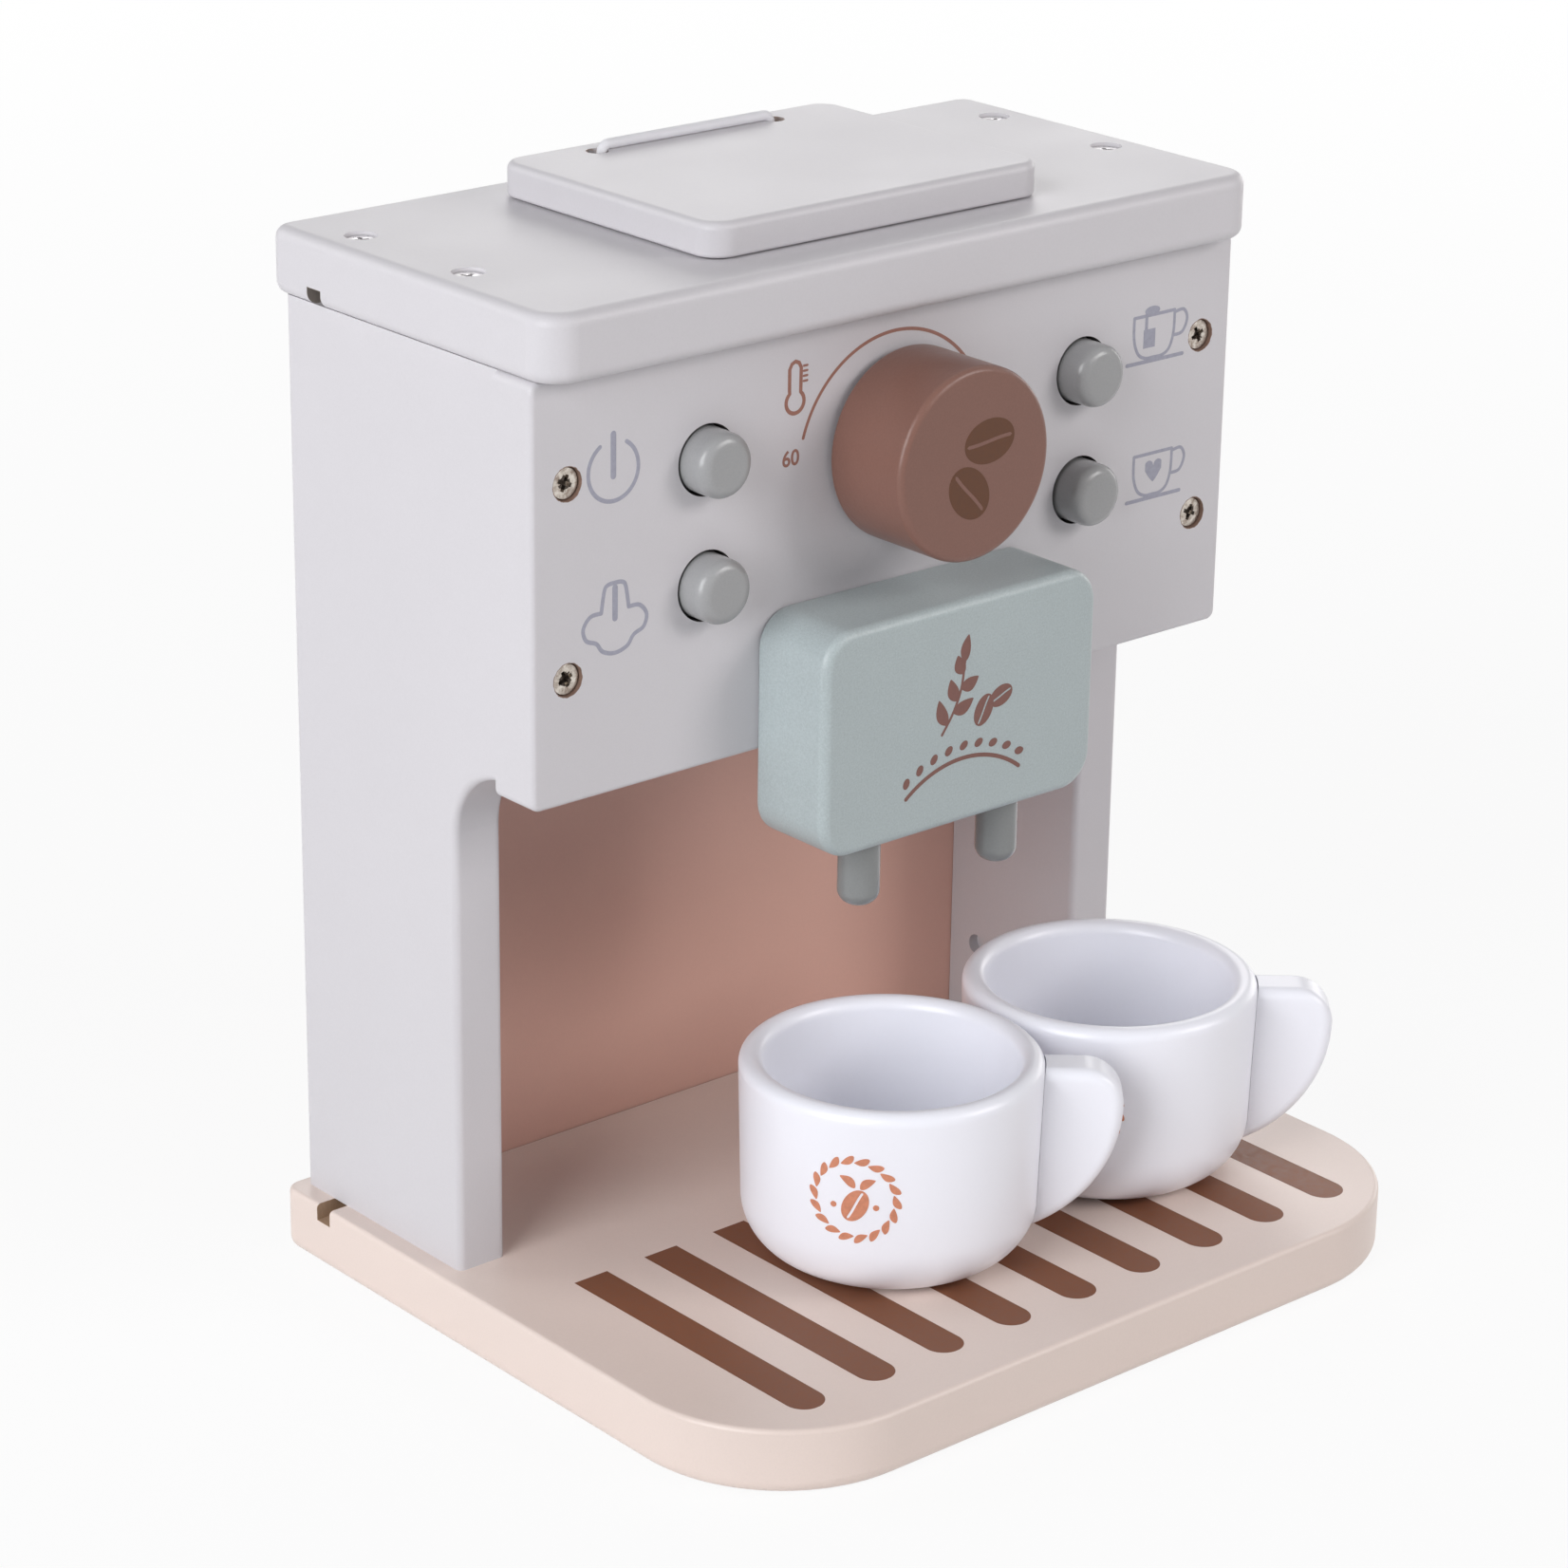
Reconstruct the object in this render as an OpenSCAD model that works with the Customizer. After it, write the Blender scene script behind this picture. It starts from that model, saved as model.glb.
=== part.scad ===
// Toy coffee maker: a painted board housing with four sprung push buttons, a turning knob,
// a lid on an elastic cord, a brewing block with two spouts, and two cups on the base.
// +X is right, the front faces -Y, +Z is up; the origin lies under the middle of the footprint.

/* [Base] */
// How far the base reaches beside the side boards
base_side_lip = 4.5; // [3.5:0.1:16]
// Depth of the base board
base_d = 153; // [150:0.5:190]
// Thickness of the base board
base_t = 14; // [10:0.5:20]
// Corner radius at the front of the base
base_front_r = 34; // [8:1:40]
// Corner radius at the rear of the base
base_rear_r = 3.5; // [3:0.5:12]
// How far the base reaches behind the side boards
base_rear_lip = 2.5; // [0:0.1:8]
// Rounding of the upper edge of the base
base_edge_r = 1; // [0.5:0.5:3]
// Rounding of the lower edge of the base
base_foot_r = 3; // [0.5:0.5:3.5]

/* [Housing] */
// Width over both side boards
housing_w = 179.5; // [160:0.5:210]
// Height of the side boards
side_h = 190.5; // [165:0.5:230]
// Thickness of the side boards
side_t = 11.5; // [10:0.5:15]
// Depth of a side board at the head
head_d = 67.5; // [64:0.5:80]
// Depth of a side board at the leg
leg_d = 52.5; // [44:0.5:56]
// Height of the head part of the side boards
head_h = 81.5; // [78:0.5:95]
// Rounding of the side boards' edges
edge_r = 1.5; // [0.5:0.5:3]
// Diameter of the blind hole in the right leg's inner face
leg_hole_d = 4.6; // [3:0.1:6]
// Depth of the blind hole in the right leg
leg_hole_depth = 2.5; // [1:0.5:2.5]
// Distance from the side board's rear edge to the blind hole
leg_hole_rear = 22.3; // [20:0.1:26]
// Height of the blind hole above the base board
leg_hole_z = 16.3; // [8:0.1:24]

/* [Top board] */
// How far the top board reaches beside the side boards
top_side_lip = 1.5; // [0.5:0.1:6]
// How far the top board reaches in front of the front panel
top_front_lip = 5.9; // [1:0.1:10]
// How far the top board reaches behind the side boards
top_rear_lip = 3.2; // [2.5:0.1:6]
// Thickness of the top board
top_t = 13.5; // [11:0.5:18]
// Corner radius at the front of the top board
top_front_r = 7; // [4:0.5:14]
// Corner radius at the rear of the top board
top_rear_r = 4; // [3:0.5:12]
// Rounding of the top board's edges
top_edge_r = 2.5; // [0.5:0.5:3]
// Width of the filling hole under the lid
fill_w = 60; // [30:1:66]
// Depth of the filling hole under the lid
fill_d = 34; // [20:1:38]
// Corner radius of the filling hole
fill_r = 6; // [2:0.5:8]
// Distance from the side boards' rear edge to the filling hole
fill_inset = 22.5; // [19.5:0.5:24.5]

/* [Front panel] */
// How far the front panel reaches beside the side boards
front_side_lip = 1.2; // [0:0.1:4]
// Thickness of the front panel
front_t = 11.5; // [10:0.5:15]
// How far the front panel hangs below the head
front_drop = 2.3; // [0:0.1:6]
// Corner radius of the front panel
front_corner_r = 2; // [1.5:0.5:8]
// Rounding of the front panel's edges
front_edge_r = 1; // [0.5:0.5:2]

/* [Rear panel and shelf] */
// Thickness of the rear panel
rear_t = 4; // [3:0.5:6]
// Distance from the side boards' rear edge to the rear panel
rear_inset = 9.8; // [5:0.1:10.5]
// Depth of the grooves that hold the rear panel and the shelf
groove_d = 3.5; // [2:0.5:5]
// Thickness of the shelf in the head
shelf_t = 6; // [4:0.5:7]
// Height of the shelf above the lower edge of the head
shelf_lift = 3.5; // [1:0.5:4]

/* [Lid] */
// Width of the lid
lid_w = 86; // [78:1:100]
// Depth of the lid
lid_d = 66.7; // [60:0.1:70]
// Thickness of the lid
lid_t = 7; // [5:0.5:10]
// Corner radius of the lid
lid_corner_r = 5.5; // [4:0.5:12]
// Rounding of the lid's upper edge
lid_edge_r = 1.6; // [0.5:0.1:2]
// Rounding of the lid's lower edge
lid_foot_r = 0.8; // [0.2:0.1:1.5]
// Distance from the side boards' rear edge to the lid
lid_inset = 6.1; // [4:0.1:8]
// Gap between the closed lid and the top board
lid_gap = 0.3; // [0.3:0.1:1]

/* [Elastic cord] */
// Diameter of the elastic cord
cord_d = 2.1; // [1.5:0.1:3]
// Diameter of the cord holes in lid and top board
cord_hole_d = 4.6; // [4:0.1:6]
// Distance between the two cord holes
cord_span = 46; // [30:1:60]
// Distance from the lid's rear edge to the cord holes
cord_inset = 6.9; // [5:0.1:9]
// Diameter of the knots in the top board
knot_d = 6.6; // [6:0.1:7.5]
// Thickness of wood above the knots
knot_cover = 3; // [2.5:0.1:3.2]
// Bend radius of the cord where it dives into a hole
cord_bend_r = 2.6; // [2:0.1:4]

/* [Brewing block] */
// Width of the brewing block
block_w = 72; // [60:1:90]
// Height of the brewing block
block_h = 46.5; // [40:1:52]
// Depth of the brewing block
block_d = 20; // [16:0.5:28]
// Corner radius of the brewing block
block_corner_r = 7.5; // [6:0.5:14]
// Rounding of the brewing block's front edges
block_edge_r = 2; // [1:0.5:4]
// Rounding of the brewing block's rear edges
block_rear_r = 0.8; // [0.2:0.2:2]
// Height of the block's top above the lower edge of the front panel
block_rise = 28.5; // [26:0.5:30]
// Diameter of the two spouts
spout_d = 8.5; // [6:0.5:12]
// Distance between the two spouts
spout_pitch = 37; // [26:1:44]
// Length of spout that shows below the block
spout_reach = 14.9; // [8:0.1:24]
// Length of spout inside the block
spout_depth = 14; // [8:0.5:20]
// Distance from the front panel to the spouts' axes
spout_offset = 11; // [9:0.5:12]
// Rounding of the spouts' ends
spout_end_r = 3; // [0.5:0.1:3]

/* [Knob] */
// Diameter of the knob
knob_d = 39; // [34:0.5:42]
// Thickness of the knob
knob_t = 20.5; // [18:0.5:26]
// Rounding of the knob's front edge
knob_edge_r = 1.4; // [0.4:0.2:6]
// Rounding of the knob's rear edge
knob_rear_r = 1; // [0.2:0.2:2]
// Gap between knob and front panel
knob_gap = 1; // [0.6:0.1:2]
// Sideways place of the knob
knob_x = 0.2; // [-4:0.1:4]
// Depth of the knob's axis below the top board
knob_drop = 27.5; // [25:0.1:31]
// Diameter of the knob's axle
axle_d = 8; // [6:0.5:10]
// Depth of the axle's hole in the knob
axle_depth = 14; // [10:0.5:15]
// Diameter of the spacer behind the knob
spacer_d = 24; // [14:0.5:27]
// Thickness of the spacer
spacer_t = 0.8; // [0.4:0.1:0.9]
// Diameter of the washer that holds the axle
washer_d = 18; // [14:0.5:24]
// Thickness of the washer that holds the axle
washer_t = 1.5; // [1:0.1:2.5]

/* [Buttons] */
// Diameter of a button
button_d = 13; // [9:0.5:13.5]
// How far a button stands out of the panel
button_reach = 6.5; // [5:0.1:9]
// Travel of a button
button_travel = 4; // [2:0.5:4]
// Rounding of a button's front edge
button_edge_r = 2.4; // [0.4:0.2:3]
// Diameter of the holes that show round the buttons
button_hole_d = 14.2; // [14:0.1:15]
// Distance between the left and the right buttons
button_pitch_x = 98; // [92:1:104]
// Distance between the upper and the lower buttons
button_pitch_z = 25; // [23:0.5:28]
// Depth of the upper buttons' axes below the top board
button_drop = 22.2; // [19:0.1:24]
// Thickness of panel in front of a button's flange
shoulder_t = 4; // [3:0.5:4.5]
// Diameter of a button's flange
flange_d = 17; // [16:0.5:18]
// Diameter of a button's guide stem
stem_d = 6; // [4:0.5:7]
// Thickness of the button guides
guide_t = 9; // [8:0.5:11]
// Width of the button guides
guide_w = 26; // [22:0.5:30]
// Height that a button guide reaches past its buttons' axes
guide_margin = 11; // [8:0.5:13]
// Depth of the spring pockets in the button guides
pocket_depth = 5; // [4.5:0.5:6]
// Wire diameter of the button springs
wire_d = 0.7; // [0.4:0.1:0.8]
// Mean diameter of the button springs
coil_d = 8.6; // [8.2:0.1:9.4]
// Number of turns of a button spring
coil_turns = 4; // [4:1:5]

/* [Cups] */
// Radius of a cup at its rim
cup_r = 30.8; // [24:0.1:30.8]
// Radius of a cup above its rounded foot
cup_foot_r = 30.1; // [22:0.1:30.8]
// Height of a cup
cup_h = 42.3; // [36:0.1:60]
// Wall thickness of a cup
cup_wall = 5; // [3:0.1:7]
// Floor thickness of a cup
cup_floor = 6; // [4:0.1:9]
// Outer rounding between a cup's wall and floor
cup_round_r = 12; // [6:0.5:16]
// Inner rounding between a cup's wall and floor
cup_bowl_r = 9; // [4:0.5:14]
// Thickness of a cup's handle
handle_t = 10; // [6:0.5:12]
// Distance from a cup's axis to the end of its handle
handle_reach = 46.5; // [42:0.5:47]
// How far a handle's top lies below the rim
handle_drop = 1.5; // [0.5:0.1:6]
// Height of a handle's lower sweep above the base
handle_rise = 3.8; // [3:0.1:9]
// Upper corner radius of a handle
handle_top_r = 8; // [4:0.5:12]
// Rounding of a handle's edges
handle_edge_r = 2.4; // [0.5:0.1:3]
// Direction in which the handles point, turned from +X
handle_turn = -41; // [-60:1:-25]
// Sideways place of the left cup
cup_left_x = -14.3; // [-40:0.1:-14.3]
// Sideways place of the right cup
cup_right_x = 47.9; // [47.9:0.1:60]
// Distance from the side boards' rear edge to the left cup's axis
cup_left_y = 96.5; // [94:0.5:112]
// Distance from the side boards' rear edge to the right cup's axis
cup_right_y = 95.1; // [94:0.1:110]

/* [Screws] */
// Shank diameter of the board screws
screw_d = 3.5; // [3:0.1:4]
// Head diameter of the board screws
screw_head_d = 6; // [5.6:0.1:7.6]
// Length of the screws in top and base
board_screw_l = 30; // [24:1:32]
// Length of the screws in the front panel
front_screw_l = 27; // [20:1:28]
// Length of the screws that hold the brewing block
block_screw_l = 24; // [18:1:26]
// Shank diameter of the small screws
small_screw_d = 3; // [2.5:0.1:3.5]
// Head diameter of the small screws
small_head_d = 5.6; // [5:0.1:7]
// Length of the small screws
small_screw_l = 15; // [12:1:18]
// Turn of the cross recess from one screw to the next
screw_turn = 23; // [0:1:40]
// How deep the screw heads lie in the boards
screw_sink = 0.8; // [0.2:0.1:2]
// Distance from the side boards' rear edge to the rear screws of the top
top_screw_rear = 15.5; // [15.5:0.5:20]
// Distance between the front and rear screws of the top
top_screw_pitch = 34; // [20:0.5:34]
// Distance from the side boards' rear edge to the rear screws of the base
base_screw_rear = 18.5; // [16.5:0.5:20]
// Distance between the front and rear screws of the base
base_screw_pitch = 22; // [16:0.5:22]
// Distance from the side boards' outer faces to the screws in them
screw_inset = 7.2; // [5:0.1:7.5]
// Depth of the upper front screws below the top board
front_screw_drop = 20.5; // [20:0.5:26]
// Distance between the upper and the lower front screws
front_screw_pitch = 38.3; // [30:0.1:44]
// Distance between the two screws that hold the brewing block
block_screw_pitch = 44; // [20:1:46]
// Depth of the block's screws below its top
block_screw_drop = 10.5; // [7:0.5:11]
// Distance between the two screws of a button guide
guide_screw_pitch = 17; // [12:0.5:18]

/* [Fits] */
// Running clearance round axle and button stems
run_play = 0.08; // [0.03:0.01:0.1]
// End play of the knob's axle
end_play = 0.3; // [0.1:0.1:0.5]
// Clearance round glued and screwed pieces
seat_play = 0.05; // [0.02:0.01:0.1]
// Clearance of panels in their grooves
groove_play = 0.15; // [0.05:0.05:0.3]
// Free space round the buttons' flanges and springs
free_play = 1; // [0.5:0.1:1.2]
// Clearance of screw shanks in the board that they clamp
shank_play = 0.3; // [0.1:0.1:0.5]

/* [Hidden] */
$fn = 64;
through = 1;

// Planes, from the footprint's middle
base_w = housing_w + 2 * base_side_lip;
top_w = housing_w + 2 * top_side_lip;
front_w = housing_w + 2 * front_side_lip;
rear_y = (base_d - base_rear_lip - max(top_rear_lip, base_rear_lip)) / 2;
base_mid_y = rear_y + base_rear_lip - base_d / 2;
top_z = base_t + side_h;
crown_z = top_z + top_t;
head_z = top_z - head_h;
panel_rear_y = rear_y - head_d;
panel_face_y = panel_rear_y - front_t;
panel_z = head_z - front_drop;
screw_x = housing_w / 2 - screw_inset;
inner_w = housing_w - 2 * side_t;
rear_mid_y = rear_y - rear_inset - rear_t / 2;
rim_w = 2 * edge_r;
fillet_r = head_d - leg_d;
groove_w = rear_t + 2 * groove_play;
shelf_z = head_z + shelf_lift;

// Lid and cord
lid_z = crown_z + lid_gap;
lid_rear_y = rear_y - lid_inset;
cord_y = lid_rear_y - cord_inset;
cord_r = cord_d / 2;
cord_run_z = lid_z + lid_t + cord_r + seat_play;
knot_r = knot_d / 2;
knot_z = crown_z - knot_cover - sqrt(pow(knot_r, 2) - pow(cord_hole_d / 2, 2)) - seat_play;
knot_bore_d = knot_d + 2 * shank_play;

// Brewing block
block_z = panel_z + block_rise - block_h;
spout_y = panel_face_y - spout_offset;

// Knob
knob_z = top_z - knob_drop;
axle_rear_y = panel_rear_y + end_play;
knob_rear_y = panel_face_y - knob_gap;

// Buttons
button_z = top_z - button_drop;
shoulder_y = panel_face_y + shoulder_t;
flange_t = front_t - shoulder_t - 2 * seat_play - button_travel;
flange_y = shoulder_y + seat_play;
spring_front_y = flange_y + flange_t + seat_play;
guide_rear_y = panel_rear_y + guide_t;
spring_rear_y = panel_rear_y + pocket_depth - seat_play;
spring_l = spring_rear_y - spring_front_y;
pocket_d = coil_d + wire_d + 2 * free_play;
guide_z = button_z - button_pitch_z / 2;

// Cups
rim_r = cup_wall / 2;
rest_z = base_t + seat_play;

// Screws
head_slope = 0.75;
pan_share = 0.4;
slot_w_share = 0.14;
slot_l_share = 0.56;
slot_depth_share = 0.6;
tip_share = 0.25;
closed_pitch = 1.1;
front_screw_z = top_z - front_screw_drop;
block_screw_z = block_z + block_h - block_screw_drop;

wall_paint = [0.87, 0.86, 0.88];
base_paint = [0.89, 0.82, 0.79];
rear_paint = [0.76, 0.58, 0.53];
block_paint = [0.66, 0.71, 0.71];
grey_paint = [0.6, 0.62, 0.61];
knob_paint = [0.55, 0.39, 0.35];
cup_paint = [0.94, 0.94, 0.96];
elastic_white = [0.93, 0.92, 0.95];
raw_board = [0.72, 0.58, 0.44];
steel = [0.75, 0.75, 0.77];
spacer_grey = [0.45, 0.45, 0.47];

// ---- Shapes that several pieces share ----

// Section of a board's rim: r wide and h thick, its outer corners rounded by top and foot
module rim_profile(r, h, top, foot) {
    intersection() {
        square([r, h]);
        union() {
            square([r - max(top, foot), h]);
            translate([0, foot]) square([r, h - top - foot]);
            if (top > 0) {
                translate([0, h - top]) square([r - top, top]);
                translate([r - top, h - top]) circle(r = top);
            }
            if (foot > 0) {
                square([r - foot, foot]);
                translate([r - foot, foot]) circle(r = foot);
            }
        }
    }
}

// Board lying flat, centred in X and Y, with its own front and rear corner radius
module board(w, d, h, front_r, back_r, top, foot) {
    for (side = [0, 1]) mirror([side, 0, 0]) {
        translate([w / 2 - front_r, front_r - d / 2, 0]) {
            rotate(-90) rotate_extrude(angle = 90) rim_profile(front_r, h, top, foot);
            translate([0, d - front_r - back_r, 0]) rotate([90, 0, 0])
                linear_extrude(d - front_r - back_r) rim_profile(front_r, h, top, foot);
            rotate([90, 0, -90]) linear_extrude(w / 2 - front_r)
                rim_profile(front_r, h, top, foot);
        }
        translate([w / 2 - back_r, d / 2 - back_r, 0]) {
            rotate_extrude(angle = 90) rim_profile(back_r, h, top, foot);
            rotate([90, 0, 90]) translate([0, 0, back_r - w / 2])
                linear_extrude(w / 2 - back_r) rim_profile(back_r, h, top, foot);
        }
    }
    translate([front_r - w / 2, front_r - d / 2, 0])
        cube([w - 2 * front_r, d - front_r - back_r, h]);
}

// Board standing upright with its rear face on y = 0 and its face towards -Y
module upright_board(w, d, h, corner_r, face_r, back_r) {
    translate([0, 0, d / 2]) rotate([90, 0, 0])
        board(w, d, h, corner_r, corner_r, face_r, back_r);
}

// Rectangle with round corners
module round_rect(w, d, r) {
    square([w - 2 * r, d], center = true);
    square([w, d - 2 * r], center = true);
    for (x = [-1, 1], y = [-1, 1]) translate([x * (w / 2 - r), y * (d / 2 - r)]) circle(r = r);
}

// Turned piece: a cylinder with a rounded upper and lower edge
module turned(d, h, top, foot) {
    rotate_extrude() rim_profile(d / 2, h, top, foot);
}

// Shank of a screw, its upper end on z = 0, ending in a blunt point
module shank(l, d) {
    translate([0, 0, d - l]) cylinder(h = l - d, d = d);
    translate([0, 0, -l]) cylinder(h = d, d1 = d * tip_share, d2 = d);
}

// Cross recess of a screw head, cut down from z = 0
module cross_recess(head_d, depth) {
    slot_w = head_d * slot_w_share;
    slot_l = head_d * slot_l_share;
    for (turn = [0, 90]) rotate(turn)
        translate([-slot_l / 2, -slot_w / 2, -depth]) cube([slot_l, slot_w, depth + through]);
}

// Countersunk screw; the head's top lies on z = 0
module screw(l, d, head_d) {
    head_h = (head_d - d) * head_slope;
    difference() {
        union() {
            translate([0, 0, -head_h]) {
                cylinder(h = head_h, d1 = d, d2 = head_d);
                shank(l - head_h, d);
            }
        }
        cross_recess(head_d, head_h * slot_depth_share);
    }
}

// Pan-head screw; the head's underside lies on z = 0
module pan_screw(l, d, head_d) {
    head_h = head_d * pan_share;
    difference() {
        union() {
            turned(head_d, head_h, head_h / 2, 0);
            shank(l, d);
        }
        translate([0, 0, head_h]) cross_recess(head_d, head_h * slot_depth_share);
    }
}

// Countersunk clearance hole through the clamped board, its mouth sink above the head
module clamp_hole(l, d, head_d) {
    head_h = (head_d - d) * head_slope;
    play = 2 * shank_play;
    translate([0, 0, -l]) cylinder(h = l, d = d + play);
    translate([0, 0, -head_h - shank_play]) cylinder(h = head_h, d1 = d + play, d2 = head_d + play);
    translate([0, 0, -shank_play]) cylinder(h = screw_sink + shank_play + through, d = head_d + play);
}

// Pilot hole in the board that the screw bites into
module pilot_hole(l, d) {
    translate([0, 0, -l - seat_play]) cylinder(h = l + through, d = d + 2 * seat_play);
}

// Coil spring along +Z with closed ends
module coil_spring(l) {
    steps = 16;
    sides = 6;
    end_pitch = wire_d * closed_pitch;
    mid_pitch = (l - wire_d - 2 * end_pitch) / (coil_turns - 2);
    count = steps * coil_turns;
    function climb(turn) = turn < 1 ? end_pitch * turn
        : turn < coil_turns - 1 ? end_pitch + mid_pitch * (turn - 1)
        : l - wire_d - end_pitch * (coil_turns - turn);
    points = [for (i = [0 : count], k = [0 : sides - 1])
        let (turn = i / steps, a = 360 * turn, b = 360 * k / sides,
             r = coil_d / 2 + wire_d / 2 * cos(b))
        [r * cos(a), r * sin(a), wire_d / 2 + climb(turn) + wire_d / 2 * sin(b)]];
    sides_faces = [for (i = [0 : count - 1], k = [0 : sides - 1])
        let (n = (k + 1) % sides, p = i * sides, q = p + sides)
        [p + k, p + n, q + n, q + k]];
    ends = [[for (k = [sides - 1 : -1 : 0]) k], [for (k = [0 : sides - 1]) count * sides + k]];
    polyhedron(points = points, faces = concat(sides_faces, ends));
}

// ---- Places ----

module at_side_screws(rear_gap, pitch) {
    for (side = [-1, 1], row = [0, 1])
        translate([side * screw_x, rear_y - rear_gap - row * pitch, 0])
            rotate(screw_turn * (side + 2 * row)) children();
}

module at_front_screws() {
    for (side = [-1, 1], row = [0, 1])
        translate([side * screw_x, panel_face_y, front_screw_z - row * front_screw_pitch])
            rotate([90, 0, 0]) rotate(screw_turn * (side + 2 * row)) children();
}

module at_block_screws() {
    for (side = [-1, 1])
        translate([side * block_screw_pitch / 2, panel_rear_y, block_screw_z])
            rotate([-90, 0, 0]) children();
}

module at_guide_screws(side) {
    for (end = [-1, 1])
        translate([side * button_pitch_x / 2 + end * guide_screw_pitch / 2, guide_rear_y, guide_z])
            rotate([-90, 0, 0]) children();
}

// The axis of a button, with +Z pointing out of the panel
module at_button(side, row) {
    translate([side * button_pitch_x / 2, 0, button_z - row * button_pitch_z])
        rotate([90, 0, 0]) children();
}

module at_knob() {
    translate([knob_x, 0, knob_z]) rotate([90, 0, 0]) children();
}

module at_cord_holes() {
    for (side = [-1, 1]) translate([side * cord_span / 2, cord_y, 0]) children();
}

// ---- Boards ----

module base() {
    color(base_paint) difference() {
        translate([0, base_mid_y, 0])
            board(base_w, base_d, base_t, base_front_r, base_rear_r, base_edge_r, base_foot_r);
        translate([-base_w / 2 - through, rear_mid_y - groove_w / 2, base_t - groove_d])
            cube([base_w + 2 * through, groove_w, groove_d + through]);
        at_side_screws(base_screw_rear, base_screw_pitch) translate([0, 0, screw_sink])
            rotate([180, 0, 0]) clamp_hole(base_t + through, screw_d, screw_head_d);
    }
}

// Inverted L with a hollow quarter-round where the leg meets the head; outer face on x = 0
module side_shape() {
    leg_top = side_h - head_h - fillet_r;
    translate([side_t, -rim_w, 0]) linear_extrude(side_h)
        rotate(90) rim_profile(rim_w, side_t, edge_r, edge_r);
    translate([0, rim_w - leg_d, 0]) cube([side_t, leg_d - 2 * rim_w, side_h]);
    translate([0, rim_w - leg_d, 0]) linear_extrude(leg_top)
        rotate(-90) rim_profile(rim_w, side_t, edge_r, edge_r);
    translate([0, -head_d, leg_top]) rotate([90, 0, 90]) {
        rotate_extrude(angle = 90) translate([fillet_r + rim_w, 0]) mirror([1, 0])
            rim_profile(rim_w, side_t, edge_r, edge_r);
        linear_extrude(side_t) difference() {
            square(fillet_r + rim_w);
            circle(r = fillet_r + rim_w);
        }
    }
    translate([0, -head_d, side_h - head_h + rim_w])
        cube([side_t, fillet_r + rim_w, head_h - rim_w]);
}

module side_board(side) {
    color(wall_paint) difference() {
        translate([0, rear_y, base_t]) mirror([side > 0 ? 1 : 0, 0, 0])
            translate([-housing_w / 2, 0, 0]) side_shape();
        translate([side * inner_w / 2, rear_mid_y, base_t + side_h / 2])
            cube([2 * groove_d, groove_w, side_h + 2 * through], center = true);
        translate([side * inner_w / 2, rear_mid_y - groove_w / 2 - head_d / 2, shelf_z + shelf_t / 2])
            cube([2 * groove_d, head_d, shelf_t + 2 * groove_play], center = true);
        at_side_screws(top_screw_rear, top_screw_pitch) translate([0, 0, crown_z - screw_sink])
            pilot_hole(board_screw_l, screw_d);
        at_side_screws(base_screw_rear, base_screw_pitch) translate([0, 0, screw_sink])
            rotate([180, 0, 0]) pilot_hole(board_screw_l, screw_d);
        at_front_screws() translate([0, 0, -screw_sink]) pilot_hole(front_screw_l, screw_d);
    }
}

module side_left() { side_board(-1); }

module side_right() {
    color(wall_paint) difference() {
        side_board(1);
        translate([inner_w / 2 - through, rear_y - leg_hole_rear, base_t + leg_hole_z])
            rotate([0, 90, 0]) cylinder(h = leg_hole_depth + through, d = leg_hole_d);
    }
}

module rear_panel() {
    reach = groove_d - groove_play;
    color(rear_paint)
        translate([-inner_w / 2 - reach, rear_mid_y - rear_t / 2, base_t - reach])
            cube([inner_w + 2 * reach, rear_t, side_h + 2 * reach]);
}

module shelf() {
    reach = groove_d - groove_play;
    depth = rear_mid_y - rear_t / 2 - panel_rear_y - 2 * groove_play;
    color(wall_paint) translate([-inner_w / 2 - reach, panel_rear_y + groove_play, shelf_z])
        cube([inner_w + 2 * reach, depth, shelf_t]);
}

module top_board() {
    depth = head_d + front_t + top_front_lip + top_rear_lip;
    color(wall_paint) difference() {
        translate([0, rear_y + top_rear_lip - depth / 2, top_z])
            board(top_w, depth, top_t, top_front_r, top_rear_r, top_edge_r, top_edge_r);
        translate([-top_w / 2 - through, rear_mid_y - groove_w / 2, top_z - through])
            cube([top_w + 2 * through, groove_w, groove_d + through]);
        translate([0, rear_y - fill_inset - fill_d / 2, top_z - through])
            linear_extrude(top_t + 2 * through) round_rect(fill_w, fill_d, fill_r);
        at_cord_holes() translate([0, 0, top_z - through]) {
            cylinder(h = top_t + 2 * through, d = cord_hole_d);
            cylinder(h = top_t + through - knot_cover, d = knot_bore_d);
        }
        at_side_screws(top_screw_rear, top_screw_pitch) translate([0, 0, crown_z - screw_sink])
            clamp_hole(top_t + through, screw_d, screw_head_d);
    }
}

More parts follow.
